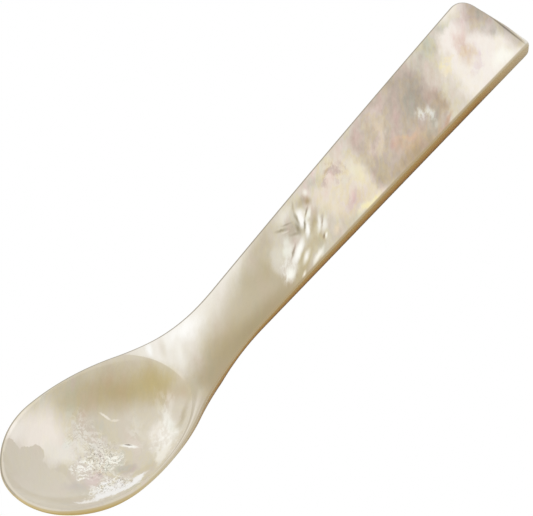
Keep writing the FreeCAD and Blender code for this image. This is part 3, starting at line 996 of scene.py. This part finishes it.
BOWL_TONES_AND_PAINTED_LIGHT: tuple[Cloud, ...] = (
    # Partly painted shade: the hollow is darker than the neck, with a sharp edge at its end
    # where its shade falls.
    Cloud((14.0, 0.0), (21.1, 13.6), 3.0, "#d3cab8", 0.012, 0.0),
    # Partly painted shade: the honey and olive clouds on the hollow's far wall below lie over
    # the shell's olive tone.
    Cloud((21.0, 7.0), (7.0, 4.0), -12.0, "#c9bea3", 1.0, 1.5),
    Cloud((27.2, 4.3), (12.0, 5.6), -36.0, "#b5a478", 1.0, 1.0),
    Cloud((31.6, 1.2), (5.6, 4.6), -50.0, "#b9a872", 1.0, 1.0),
    Cloud((33.2, -3.6), (3.0, 4.2), 25.0, "#c1b495", 0.9, 1.0),
    Cloud((25.0, -4.2), (3.5, 1.6), 35.0, "#e8dfd2", 0.9, 1.0),
    Cloud((23.0, -2.6), (5.0, 2.6), 40.0, "#dfd8ca", 1.0, 1.4, Breakup.MOTTLED),
    Cloud((28.6, -3.4), (5.4, 2.2), 45.0, "#e7e1d3", 1.0, 1.2, Breakup.STREAKED),
    stroke((24.5, -8.3), (33.5, -4.5), 0.6, "#bbaf93", 1.0),
    # Painted sheen: the pale streaks on the hollow's near side below.
    Cloud((25.0, -6.6), (7.4, 2.8), 36.0, "#ece6da", 1.0, 1.2),
    Cloud((27.2, -5.2), (3.8, 1.3), 58.0, "#e9e8dc", 1.0, 0.8),
    Cloud((24.5, -6.4), (6.6, 2.4), 40.0, "#faf7ee", 0.9, 1.2, Breakup.STREAKED),
    Cloud((21.0, -8.9), (3.6, 0.8), 18.0, "#f6f2e8", 0.8, 0.8),
    Cloud((12.6, 7.0), (7.0, 6.2), 0.0, "#faf1e6", 0.8, 1.0),
    Cloud((9.6, 9.0), (3.6, 1.5), 15.0, "#faf3e9", 0.8, 0.6),
    Cloud((30.0, 9.3), (6.4, 1.15), -22.0, "#efece1", 0.5, 0.3),
    Cloud((13.0, 3.0), (5.0, 3.2), -30.0, "#f1ebe0", 0.8, 1.5),
    Cloud((19.0, 1.5), (5.0, 3.2), 40.0, "#cbc4b4", 0.9, 2.0, Breakup.MOTTLED),
    Cloud((16.7, 1.0), (1.1, 1.0), 40.0, "#e4e6da", 0.6, 1.5),
    Cloud((15.0, 3.6), (1.2, 0.9), 0.0, "#eeece2", 0.6, 1.5),
    Cloud((16.8, 3.4), (6.0, 3.2), 35.0, "#ece8dd", 0.9, 1.5, Breakup.FLECKED, 0.75),
    Cloud((17.4, 3.0), (5.0, 3.0), 35.0, "#bdb5a5", 0.8, 1.5, Breakup.VEINED, 0.6),
    Cloud((1.6, 1.2), (8.3, 8.8), 0.0, "#d9d0be", 0.05, 0.9),
    Cloud((8.9, 5.6), (2.2, 1.5), 0.0, "#d9d0be", 0.12, 0.7),
    Cloud((6.0, 7.4), (2.4, 1.6), 10.0, "#d9d0be", 0.12, 0.7),
    Cloud((5.5, -5.0), (5.0, 3.4), -40.0, "#cec5b3", 1.0, 1.0),
    Cloud((9.5, -2.6), (3.6, 2.2), -20.0, "#c9c0b6", 1.0, 1.0),
    Cloud((15.2, -1.5), (6.0, 4.4), 35.0, "#ddd5ca", 0.8, 1.5),
    Cloud((12.3, -3.2), (3.2, 1.6), 20.0, "#dac8c1", 0.9, 1.0),
    # Painted sheen and highlights: the white flecks and patches from here down to the last vein
    # are broken up by the shell's real crackle. The white crescent on the hollow's near wall is
    # the brightest of them.
    Cloud((15.6, -0.8), (6.0, 4.2), 35.0, "#eeeae0", 0.8, 1.5, Breakup.FLECKED),
    Cloud((12.9, -0.3), (1.9, 1.2), -10.0, "#fdfbf2", 0.5, 1.2, Breakup.FLECKED),
    Cloud((11.6, -2.0), (0.9, 0.8), 0.0, "#fcf8f0", 0.5, 1.0, Breakup.FLECKED),
    Cloud((16.3, -2.7), (3.3, 2.4), 40.0, "#fbf9ee", 0.6, 1.5, Breakup.FLECKED),
    Cloud((17.2, -0.4), (2.4, 1.7), 40.0, "#ece8da", 0.8, 1.5, Breakup.FLECKED),
    Cloud((15.8, -1.6), (5.2, 3.8), 38.0, "#a0988a", 0.6, 1.5, Breakup.VEINED),
    Cloud((16.9, -6.0), (1.9, 2.2), 30.0, "#c0b6a9", 0.8, 1.4),
    Cloud((12.2, -5.4), (4.2, 1.5), -8.0, "#f9f6ee", 0.6, 1.4, Breakup.FLECKED),
    Cloud((8.3, -5.9), (2.2, 0.9), -40.0, "#fbf8f1", 0.5, 1.2, Breakup.FLECKED),
    Cloud((12.1, -7.2), (5.2, 2.5), -20.0, "#ffffff", 0.6, 1.6, Breakup.MOTTLED),
    Cloud((12.0, -7.9), (4.7, 1.6), -20.0, "#ffffff", 0.5, 1.6),
    Cloud((15.0, -8.7), (2.9, 1.1), -8.0, "#ffffff", 0.5, 1.2),
    Cloud((7.6, -5.6), (1.9, 0.8), -35.0, "#fbf8f2", 0.5, 1.2, Breakup.MOTTLED),
    Cloud((12.5, -6.4), (4.4, 1.9), -20.0, "#a09789", 0.7, 1.4, Breakup.VEINED),
    Cloud((13.3, -9.8), (1.2, 0.6), 0.0, "#cfc8b8", 0.5, 0.8),
    stroke((22.4, 4.0), (22.5, 1.9), 0.3, "#efe7da"),
    stroke((22.5, 1.9), (23.3, 1.3), 0.3, "#e6ddcd"),
    # Painted highlight: the bright hook, around a small dark mark in the shell.
    stroke((19.9, -1.7), (21.2, -4.2), 0.45, "#fcfaf2"),
    stroke((20.3, -2.2), (20.9, -3.3), 0.2, "#938b7b"),
)
# The bowl's clouds, the lowest first: its tones, with painted sheen, highlights and shade among
# them.
"""The bowl's clouds, the lowest first."""

HANDLE_TONES_AND_PAINTED_LIGHT: tuple[Cloud, ...] = (
    Cloud((66.5, 0.0), (9.0, 7.5), 30.0, "#d0c8b8", 0.5, 1.5),
    # Painted shade: the tan band on the far side.
    Cloud((60.0, 3.2), (6.5, 2.0), 15.0, "#bfb49c", 1.0, 0.8),
    Cloud((67.0, 4.3), (3.4, 1.3), 10.0, "#e3ddd1", 0.9, 1.0),
    Cloud((60.9, -0.9), (3.7, 3.0), 25.0, "#d2cabb", 0.35, 0.5),
    Cloud((60.6, 0.2), (2.8, 1.6), 30.0, "#d8d2c4", 0.9, 0.8),
    Cloud((57.2, 0.6), (3.0, 1.0), 50.0, "#b6aa88", 1.0, 0.5),
    # Painted highlights: the white fan and its streaks below.
    Cloud((59.9, -2.3), (3.8, 1.6), 30.0, "#efece1", 0.8, 1.2, Breakup.STREAKED),
    Cloud((59.4, -2.9), (2.2, 0.9), 35.0, "#f9f8ee", 1.0, 0.8),
    Cloud((62.3, -0.3), (1.8, 1.0), 30.0, "#e9e8db", 0.8, 0.8),
    Cloud((63.6, 1.0), (1.5, 0.6), 35.0, "#e8e6d9", 0.8, 0.6),
    stroke((67.2, -2.0), (57.0, -5.3), 1.5, "#baac88", 0.9),
    Cloud((76.5, -0.2), (7.0, 8.5), 40.0, "#e4d8ca", 0.5, 1.5),
    Cloud((73.6, 4.0), (3.6, 2.0), 5.0, "#c8c5b8", 1.0, 1.5),
    Cloud((77.0, 3.0), (3.6, 2.2), 15.0, "#c4b3a9", 0.9, 3.0, Breakup.MOTTLED),
    Cloud((74.8, -2.6), (4.4, 2.2), 10.0, "#d4c0ba", 1.0, 2.0),
    Cloud((79.0, 0.4), (3.0, 1.5), 50.0, "#ece1c8", 1.0, 1.5),
    Cloud((76.6, -4.9), (4.2, 1.1), -3.0, "#f5e9c2", 0.9, 1.2),
    Cloud((69.6, -3.7), (1.9, 0.9), 20.0, "#e3d3b8", 1.0, 1.0),
    Cloud((90.0, 0.5), (12.6, 9.0), 40.0, "#c2b4a6", 0.3, 1.5),
    Cloud((84.5, 5.4), (5.5, 1.8), 5.0, "#d3cbc0", 1.0, 1.5),
    Cloud((82.0, -3.0), (3.8, 2.8), 55.0, "#b8ab99", 0.8, 1.5),
    Cloud((86.3, 1.1), (6.0, 1.8), 40.0, "#d8c6b9", 1.0, 2.5),
    Cloud((90.0, 4.6), (3.8, 1.4), 10.0, "#d2c1b7", 1.0, 1.5),
    Cloud((89.0, -3.4), (4.4, 2.0), -15.0, "#c8ae8c", 1.0, 2.0),
    Cloud((89.8, -2.3), (3.0, 0.9), -25.0, "#d3b89c", 0.9, 1.5),
    stroke((81.5, -4.9), (94.5, -5.4), 1.9, "#ae9a80", 1.0),
    Cloud((96.4, 1.6), (8.0, 5.6), 38.0, "#a99d90", 1.0, 1.5),
    Cloud((97.4, -2.4), (4.0, 2.4), 48.0, "#b3a08d", 1.0, 1.5),
    Cloud((95.6, -5.3), (3.4, 0.9), 0.0, "#c6a98f", 1.0, 1.5),
    Cloud((94.4, -2.2), (1.8, 2.4), 0.0, "#dedbd4", 0.9, 1.5, Breakup.STREAKED),
    Cloud((112.5, -3.5), (11.4, 16.0), -39.0, "#f4ece3", 0.3, 1.6),
    Cloud((103.5, 4.9), (5.5, 2.2), 10.0, "#bdbaab", 1.0, 1.5),
    Cloud((109.0, 5.6), (4.5, 1.5), 0.0, "#cdcabe", 1.0, 1.5),
    Cloud((103.8, 1.0), (3.2, 1.2), 48.0, "#f2e5c2", 0.9, 2.5, Breakup.MOTTLED),
    Cloud((108.4, 0.8), (4.6, 2.2), 40.0, "#dcc6ba", 1.0, 2.0),
    Cloud((107.5, -1.9), (4.0, 1.5), 30.0, "#e8dadb", 0.9, 2.5, Breakup.MOTTLED),
    # Painted shade: the darker far corner, where the top curves down towards the end.
    Cloud((113.6, 2.4), (4.2, 5.4), 0.0, "#c0b0a7", 1.0, 1.5),
    Cloud((113.8, -0.8), (2.6, 2.6), 0.0, "#bdb8ae", 1.0, 1.5),
    Cloud((110.0, -4.8), (4.0, 2.0), -8.0, "#fdfaf0", 0.9, 1.5),
    Cloud((114.0, -5.4), (3.0, 2.4), 0.0, "#d5cabb", 1.0, 0.8),
    # Painted shade: where the top curves down at the end, and the dark line at the end's brow.
    Cloud((115.6, 2.8), (2.6, 5.0), 4.0, "#a99a8c", 1.0, 0.5),
    Cloud((115.0, -2.6), (2.2, 5.8), -9.0, "#b9b0a5", 1.0, 0.3),
    Cloud((115.1, -2.4), (0.26, 6.0), -8.0, "#7b7264", 0.8, 0.0),
    # Painted light: the paler end facet.
    Cloud((116.3, -4.6), (1.2, 3.6), -9.0, "#f3eee3", 0.3, 0.0),
)
# The handle's clouds, the lowest first: its tones, with painted highlights and shade among them.
"""The handle's clouds, the lowest first."""

# Painted highlights and shade of the folds.
FOLD_LIGHT_AND_SHADE: tuple[Cloud, ...] = (
    Cloud((65.6, 1.6), (3.0, 1.6), 25.0, "#b6ad98", 1.0, 0.8),
    Cloud((66.6, 0.2), (1.6, 1.3), 30.0, "#b9b19d", 1.0, 0.6),
    Cloud((67.0, -2.6), (3.0, 1.4), 32.0, "#bfb292", 1.0, 0.6),
    Cloud((70.3, 3.2), (1.8, 1.2), 20.0, "#b9ae98", 1.0, 0.6),
    stroke((70.6, 2.3), (71.2, 2.9), 0.8, "#a5956f", 1.0),
    stroke((71.5, 3.6), (72.1, 4.2), 0.6, "#f1eee2", 1.0),
    stroke((68.8, 2.5), (67.1, 0.5), 1.05, "#fdfbf6", 0.7),
    stroke((69.3, 2.0), (68.6, 1.3), 0.6, "#e9e3d9", 1.0),
    stroke((69.7, 4.7), (68.2, 3.0), 0.3, "#b5ab98", 1.0),
    stroke((68.5, 3.4), (66.6, 0.7), 0.42, "#a0967f", 1.0),
    stroke((64.9, 3.2), (67.0, 2.2), 0.3, "#a89f8a", 1.0),
    stroke((63.4, 3.2), (65.4, 2.2), 0.42, "#9d947d", 1.0),
    stroke((64.0, 2.4), (65.3, 1.7), 0.25, "#d8d0c0", 1.0),
    stroke((66.9, 1.8), (65.7, 0.1), 0.6, "#948a72", 1.0),
    stroke((66.1, 0.2), (64.4, 1.2), 0.45, "#a69d86", 1.0),
    stroke((70.9, 1.1), (66.0, -1.8), 0.65, "#b6a986", 1.0),
    stroke((70.6, 1.75), (67.8, 0.35), 0.36, "#f1f1e4", 0.9),
    stroke((68.4, 0.6), (65.8, -1.5), 0.44, "#fefdf8", 0.9),
    stroke((70.6, 2.15), (68.0, 0.8), 0.22, "#9a8f79", 1.0),
    stroke((68.6, 1.15), (66.2, -0.6), 0.22, "#8b8069", 1.0),
    stroke((70.2, -1.0), (67.8, -2.6), 0.85, "#efece2", 1.0),
    stroke((70.6, -0.4), (68.0, -1.9), 0.3, "#aba08a", 1.0),
    stroke((70.4, 0.05), (66.9, -2.3), 0.4, "#f4f2e8", 0.9),
    stroke((67.9, -2.7), (66.9, -3.2), 0.25, "#8e7b66", 1.0),
    stroke((68.3, -2.9), (67.2, -3.5), 0.32, "#fbf8ee", 1.0),
    stroke((64.6, -1.8), (60.9, -3.1), 0.5, "#b5a884", 1.0),
    stroke((65.6, -0.8), (61.0, -2.4), 0.85, "#fdfcf5", 0.8),
    stroke((64.3, -0.2), (61.0, -1.8), 0.3, "#9e957e", 1.0),
    stroke((64.8, -2.7), (61.6, -3.7), 0.58, "#faf7ee", 1.0),
    stroke((66.4, -3.8), (62.4, -5.1), 0.5, "#fbf7ec", 1.0),
    stroke((61.1, -4.5), (59.6, -5.1), 0.36, "#f4ecde", 1.0),
)
# Painted highlights and shade of the folds in the layers halfway along the handle.
"""The folds in the layers halfway along the handle."""

UNDER_CLOUDS: tuple[Cloud, ...] = (
    Cloud((14.0, 0.0), (22.0, 15.0), 0.0, "#ddd5c7", 1.0, 1.5),
    Cloud((10.0, -3.0), (9.0, 6.0), -30.0, "#ebe5da", 1.0, 2.0),
    Cloud((22.0, 4.0), (8.0, 4.0), 35.0, "#c8bca0", 1.0, 2.0),
    Cloud((25.0, -4.0), (7.0, 3.4), 30.0, "#e9e1d6", 1.0, 2.0, Breakup.STREAKED),
    Cloud((40.0, 1.0), (12.0, 6.0), 20.0, "#cdc2a9", 1.0, 1.5),
    Cloud((53.0, -1.0), (14.0, 8.0), 10.0, "#bdb193", 1.0, 1.5),
    Cloud((66.0, 2.0), (9.0, 5.0), 35.0, "#dad2c6", 1.0, 2.0),
    Cloud((72.0, -3.0), (7.0, 3.4), 30.0, "#dfccc3", 1.0, 2.5, Breakup.MOTTLED),
    Cloud((80.0, 1.0), (9.0, 3.4), 45.0, "#eae0c9", 1.0, 2.0),
    Cloud((90.0, -1.0), (11.0, 8.0), 40.0, "#b9ac9e", 1.0, 2.0),
    Cloud((93.0, 3.0), (5.0, 2.2), 20.0, "#cab5aa", 1.0, 2.5),
    Cloud((105.0, 0.0), (10.0, 9.0), 40.0, "#ede5db", 1.0, 2.0),
    Cloud((110.0, 3.4), (4.6, 3.0), 0.0, "#c6beb2", 1.0, 2.0),
    Cloud((107.0, -3.0), (4.6, 2.2), 30.0, "#f1e1cb", 1.0, 2.0, Breakup.MOTTLED),
)
"""The underside's clouds, the lowest first; they are not in the photograph."""


@dataclass(frozen=True)
class NacreFinish:
    """How some of the shell's faces were worked.

    The clouds are those that show, the lowest first; on the upper faces painted highlights,
    sheen and shade are among them.  The polish is the share of a buffed face's gloss.
    """

    name: str
    clouds: tuple[Cloud, ...]
    polish: float


FINISHES = (
    # Buffed: the layers show through a clear gloss as clouds, folds and crackle, with painted
    # highlights, sheen and shade among them.
    NacreFinish("polished_nacre_and_painted_light", (*NECK_TONES_AND_PAINTED_LIGHT, *BOWL_TONES_AND_PAINTED_LIGHT, *HANDLE_TONES_AND_PAINTED_LIGHT, *FOLD_LIGHT_AND_SHADE), 1.0),
    # Sawn across the layers and rubbed down: honey brown and nearly matt.
    NacreFinish("sawn_nacre", (), 0.05),
    # Buffed like the top, over plainer layers.
    NacreFinish("underside_nacre", UNDER_CLOUDS, 1.0),
)
"""The finishes of the upper faces, of the wall and of the lower faces."""


class NacreMaterial:
    """Mother-of-pearl, sawn, ground and polished.

    Thin layers of shell lie under a clear polish.  Where the layers tilt they
    turn white, pink or greenish in clouds, and the sawn sides, which cut across
    them, are honey brown.  Highlights, sheen and shade are painted into the
    colour as clouds too, and a painted highlight runs along the bowl's near rim.
    """

    MIX_FACTOR, MIX_A, MIX_B, MIX_OUT = 0, 6, 7, 2
    """Sockets of a colour mix."""

    GROUND_COLOUR = "#d8cfc0"
    """Colour of the shell where no cloud lies."""

    ROUGHNESS, COAT_ROUGHNESS, SPECULAR = 0.32, 0.03, 0.5
    """Silky layers under a buffed surface."""

    RELIEF_DEPTH, RELIEF_STRENGTH = 0.12 * MM, 0.4
    """The layers' edges, just felt under the polish."""

    STREAK_TURN = 38.0
    """Direction of the layers' growth lines, in degrees from the length."""

    STREAK_STRETCH = 2.6
    """How much longer than wide everything in the layers is."""

    DRIFT_SPAN = 4.0
    """Width in millimetres over which borders wander, for a wander of one."""

    DRIFTS = {"Scale": 0.32, "Detail": 5.0, "Roughness": 0.62}
    TINT_BANDS = {"Scale": 0.4, "Detail": 3.5, "Roughness": 0.6}
    STREAKS = {"Scale": 1.5, "Detail": 4.0, "Roughness": 0.6}
    MOTTLES = {"Scale": 0.75, "Detail": 4.0, "Roughness": 0.6}
    FLECKS = {"Scale": 1.7, "Detail": 3.0, "Roughness": 0.6}
    VEINS = {"Scale": 1.3, "Detail": 2.0, "Roughness": 0.6}
    """How many lie side by side in a millimetre across the growth lines, and how finely
    and how strongly smaller ones break them up."""

    EDGES = {
        Breakup.STREAKED: (0.38, 0.60),
        Breakup.MOTTLED: (0.38, 0.58),
        Breakup.FLECKED: (0.47, 0.55),
        Breakup.VEINED: (0.465, 0.495),
    }
    """Between which values of its noise a pattern starts and has come up fully."""

    CRAZING = 1.2
    """Wander of the mottles, veins and flecks."""

    ENDLESS = 1e6
    """Reach of a cloud through the thickness."""

    FAR_FROM = 2.0
    """Millimetres off the middle from which a place counts as the far side."""

    RIM_START, RIM_END = (13.0, 21.0), (37.0, 29.0)
    # Stations between which the bands of the bowl's rim, cut layers and a painted highlight,
    # fade in, and out.
    """Stations between which the cut layers of the bowl's rim fade in, and out."""

    WALL_COLOURS = (
        (0.0, "#b39f77", 0.0),
        (0.04, "#b39f77", 0.5),
        (0.15, "#b09a6e", 0.9),
        (0.32, "#b19a69", 1.0),
        (0.43, "#ae8f57", 1.0),
        (0.5, "#a9844a", 1.0),
        (0.57, "#9f7540", 1.0),
        (0.63, "#7a5e35", 1.0),
        (0.7, "#5d4627", 1.0),
        (0.94, "#523c22", 1.0),
        (1.0, "#523c22", 0.0),
    )
    """Wall colours from the upper arris down, with how much they cover."""

    WALL_PALENESS = (
        (0.0, "#c2ab6c", 0.8),
        (13.0, "#c6b17a", 0.8),
        (21.0, "#cbbf9f", 0.75),
        (31.0, "#b9a987", 0.4),
        (38.0, "#b9a987", 0.0),
        (102.0, "#c3b28c", 0.0),
        (108.0, "#c3b28c", 0.5),
        (115.8, "#c3b79c", 0.8),
    )
    """Paler layers in the wall, by station, with how much they cover."""

    GRAIN = ((0.3, "#9c9896", 1.0), (0.68, "#d3d2d1", 1.0))
    """Fine light and dark lines along the growth lines."""

    FAR_ARRIS = (
        (0.0, "#7f7a6f", 0.0),
        (0.12, "#7f7a6f", 0.9),
        (0.36, "#7f7a6f", 0.0),
    )
    """The thin dark line where the far arris cuts the first layers."""

    NECK = Cloud((38.0, 0.0), (7.4, 6.3), 0.0, "#ffffff", 0.2, 0.0)
    """Where the neck runs out of the bowl and its rim ends."""

    RIM_BANDS_AND_HIGHLIGHT = (
        (0.0, "#b8ac94", 0.0),
        (0.12, "#b8ac94", 0.75),
        (0.42, "#bdb199", 0.75),
        (0.55, "#e6ddcd", 0.9),
        (0.68, "#e0d6c3", 0.9),
        (0.8, "#c4b99f", 0.7),
        (0.95, "#c0b393", 0.5),
        (1.0, "#c0b393", 0.0),
    )
    # Bands along the bowl's near rim, from the hollow out: the pale middle band is a painted
    # highlight along the rim's edge, and the others are the cut layers.
    """Layers that the bowl's rim cuts, from the hollow out."""

    TINTS = (
        (0.32, "#ceb2ba", 1.0),
        (0.41, "#c4b8b6", 1.0),
        (0.48, "#bdbbb9", 1.0),
        (0.54, "#c6c0a0", 1.0),
        (0.60, "#bcbdb4", 1.0),
        (0.66, "#aebfb3", 1.0),
        (0.76, "#bbaec5", 1.0),
    )
    """Tints that the layers' thickness gives, one after another, round mid grey."""

    TINT_STRENGTH = (
        (0.0, "#3f3f3f", 0.1),
        (9.0, "#3f3f3f", 0.15),
        (14.0, "#545454", 0.5),
        (24.0, "#3f3f3f", 0.2),
        (55.0, "#3f3f3f", 0.1),
        (68.0, "#8a8a8a", 0.35),
        (76.0, "#9b9b9b", 0.75),
        (84.0, "#9b9b9b", 0.5),
        (98.0, "#9b9b9b", 0.4),
        (106.0, "#9b9b9b", 0.55),
        (115.8, "#9b9b9b", 0.5),
    )
    """How strongly the tints show, as cover, and the grain, as grey, by station."""

    def __init__(self, finish: NacreFinish, length: float) -> None:
        """Make an empty material.

        Args:
            finish: How the faces were worked.
            length: The spoon's length in millimetres.
        """
        self.finish = finish
        self.length = length
        self.material = bpy.data.materials.new(finish.name)
        self.material.use_nodes = True
        self.tree = self.material.node_tree
        self.shader = self.tree.nodes["Principled BSDF"]

    def _node(self, kind: str, links: dict, **settings: object) -> bpy.types.Node:
        """Add a node to this material."""
        return add_node(self.tree, kind, links, **settings)

    def _fields(self) -> None:
        """Lay out the coordinates and the patterns that the clouds share."""
        place = self._node("ShaderNodeTexCoord", {})
        self.mm = self._node(
            "ShaderNodeMapping",
            {
                "Vector": place.outputs["Object"],
                "Location": (self.length / 2, 0.0, 0.0),
                "Scale": (1 / MM, 1 / MM, 1 / MM),
            },
        ).outputs["Vector"]
        split = self._node("ShaderNodeSeparateXYZ", {0: self.mm})
        self.station = self._node(
            "ShaderNodeMapRange", {"Value": split.outputs["X"], "From Max": self.length}
        ).outputs["Result"]
        self.far = self._soft([(split.outputs["Y"], 0.0, self.FAR_FROM)])
        self.down = self._node("ShaderNodeAttribute", {}, attribute_name=DOWN).outputs["Fac"]
        self.along = self._node(
            "ShaderNodeMapping",
            {
                "Vector": self.mm,
                "Rotation": (0.0, 0.0, math.radians(self.STREAK_TURN)),
                "Scale": (self.STREAK_STRETCH, 1.0, 1.0),
            },
            vector_type="TEXTURE",
        ).outputs["Vector"]
        drifts = self._node("ShaderNodeTexNoise", {"Vector": self.along, **self.DRIFTS})
        span = self.DRIFT_SPAN
        self.drift = self._node(
            "ShaderNodeVectorMath",
            {0: drifts.outputs["Color"], 1: (span, span, 0.0), 2: (-span / 2, -span / 2, 0.0)},
            operation="MULTIPLY_ADD",
        ).outputs[0]
        crazed = self._drifted(self.CRAZING)
        self.bands, self.streaks, *patches, folds = (
            self._node("ShaderNodeTexNoise", {"Vector": vector, **size}).outputs["Fac"]
            for vector, size in (
                (self.along, self.TINT_BANDS),
                (self.along, self.STREAKS),
                (crazed, self.MOTTLES),
                (crazed, self.FLECKS),
                (crazed, self.VEINS),
            )
        )
        veins = self._node("ShaderNodeMath", {0: folds, 1: 0.5}, operation="PINGPONG")
        patterns = (self.streaks, *patches, veins.outputs[0])
        self.patterns = {
            breakup: (pattern, *edges)
            for pattern, (breakup, edges) in zip(patterns, self.EDGES.items())
        }

    def _drifted(self, amount: float) -> Socket:
        """Return the coordinates pushed about by an amount of the drift."""
        parts = {0: self.drift, 1: (amount, amount, 0.0), 2: self.mm}
        return self._node("ShaderNodeVectorMath", parts, operation="MULTIPLY_ADD").outputs[0]

    def _soft(self, fades: Iterable[tuple], most: float = 1.0) -> Socket:
        """Return a cover that comes up softly as one or more values move.

        Args:
            fades: Each value's socket, where it starts and where it has come up fully.
            most: How much the cover comes to.
        """
        cover = most
        for value, faint, full in fades:
            cover = self._node(
                "ShaderNodeMapRange",
                {"Value": value, "From Min": faint, "From Max": full, "To Max": cover},
                interpolation_type="SMOOTHSTEP",
            ).outputs["Result"]
        return cover

    def _cover(self, cloud: Cloud) -> Socket:
        """Return how much a cloud covers."""
        local = self._node(
            "ShaderNodeMapping",
            {
                "Vector": self._drifted(cloud.wander),
                "Location": (*cloud.place, 0.0),
                "Rotation": (0.0, 0.0, math.radians(cloud.turn)),
                "Scale": (*cloud.reach, self.ENDLESS),
            },
            vector_type="TEXTURE",
        )
        inwards = self._node(
            "ShaderNodeTexGradient", {"Vector": local.outputs[0]}, gradient_type="SPHERICAL"
        )
        fades = [(inwards.outputs["Fac"], 0.0, cloud.fade)]
        if cloud.breakup is not Breakup.WHOLE:
            fades.append(self.patterns[cloud.breakup])
        return self._soft(fades, cloud.strength)

    def _layer(
        self, place: Socket, table: tuple, top: float = 1.0, share: object = 1.0
    ) -> tuple[Socket, Socket]:
        """Make a layer from a table.

        Args:
            place: Where to read the table, from nought to one.
            table: Its rows of place, colour and cover.
            top: The place that the value one stands for.
            share: How much of the cover is left.

        Returns:
            The layer's colour and cover.
        """
        node = self._node("ShaderNodeValToRGB", {"Fac": place})
        elements = node.color_ramp.elements
        while len(elements) < len(table):
            elements.new(0.5)
        for element, (position, colour, cover) in zip(elements, table):
            element.position = position / top
            element.color = (*linear(colour)[:3], cover)
        parts = {0: node.outputs["Alpha"], 1: share}
        cover = self._node("ShaderNodeMath", parts, operation="MULTIPLY")
        return node.outputs["Color"], cover.outputs[0]

    def _lay(self, colour: object, layers: Iterable[tuple], blend: str = "MIX") -> Socket:
        """Lay layers over a colour, one on another.

        Args:
            colour: The lowest colour.
            layers: Each layer's colour and cover.
            blend: How a layer blends with what lies below it.
        """
        for layer, cover in layers:
            colour = self._node(
                "ShaderNodeMix",
                {self.MIX_FACTOR: cover, self.MIX_A: colour, self.MIX_B: layer},
                data_type="RGBA",
                blend_type=blend,
            ).outputs[self.MIX_OUT]
        return colour

    def _cut_layers(self) -> list[tuple[Socket, Socket]]:
        """Return the layers that the bowl's rim, the wall and the far arris cut, with the
        painted highlight along the bowl's near rim.
        """
        fades = [
            (self.station, faint / self.length, full / self.length)
            for faint, full in (self.RIM_START, self.RIM_END)
        ]
        rim = self._soft([(self.far, 1.0, 0.0), *fades, (self._cover(self.NECK), 1.0, 0.0)])
        outwards = self._node("ShaderNodeMath", {0: self.down, 1: 1.0}, operation="ADD")
        wall, cover = self._layer(self.down, self.WALL_COLOURS)
        paleness = self._layer(self.station, self.WALL_PALENESS, self.length)
        return [
            # The rim's bands carry a painted highlight along the near rim's edge.
            self._layer(outwards.outputs[0], self.RIM_BANDS_AND_HIGHLIGHT, share=rim),
            (self._lay(wall, [paleness]), cover),
            self._layer(self.down, self.FAR_ARRIS, share=self.far),
        ]

    def build(self) -> bpy.types.Material:
        """Make the material."""
        self._fields()
        clouds = [(linear(cloud.colour), self._cover(cloud)) for cloud in self.finish.clouds]
        colour = self._lay(linear(self.GROUND_COLOUR), clouds)
        grained, tinted = self._layer(self.station, self.TINT_STRENGTH, self.length)
        tints = self._layer(self.bands, self.TINTS, share=tinted)
        grain = self._layer(self.streaks, self.GRAIN, share=grained)
        colour = self._lay(colour, [tints, grain], "OVERLAY")
        colour = self._lay(colour, self._cut_layers())
        felt = {"Distance": self.RELIEF_DEPTH, "Strength": self.RELIEF_STRENGTH}
        relief = self._node("ShaderNodeBump", {"Height": self.streaks, **felt})
        self.tree.links.new(relief.outputs["Normal"], self.shader.inputs["Normal"])
        self.tree.links.new(colour, self.shader.inputs["Base Color"])
        for name, value in (
            ("Roughness", self.ROUGHNESS),
            ("Specular IOR Level", self.SPECULAR * self.finish.polish),
            ("Coat Weight", self.finish.polish),
            ("Coat Roughness", self.COAT_ROUGHNESS),
        ):
            self.shader.inputs[name].default_value = value
        return self.material


@dataclass(frozen=True)
class Spoon:
    """The spoon, one carved piece of shell."""

    sizes: SpoonSizes = SpoonSizes()

    def build(self) -> bpy.types.Object:
        """Shape the skin, dress it and put it in its node's place."""
        skin = SpoonMesh(SpoonForm(self.sizes)).build()
        for finish in FINISHES:
            skin.data.materials.append(NacreMaterial(finish, self.sizes.length).build())
        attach(skin, "root")
        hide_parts(NODE)
        return skin


def main() -> None:
    """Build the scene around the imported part."""
    logging.basicConfig(level=logging.INFO)
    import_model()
    bpy.context.scene.view_settings.view_transform = "Standard"
    skin = Spoon().build()
    log.info("%s: finishes %s", skin.name, ", ".join(finish.name for finish in FINISHES))
    Studio().build()
    PhotoCamera().build()


if __name__ == "__main__":
    main()
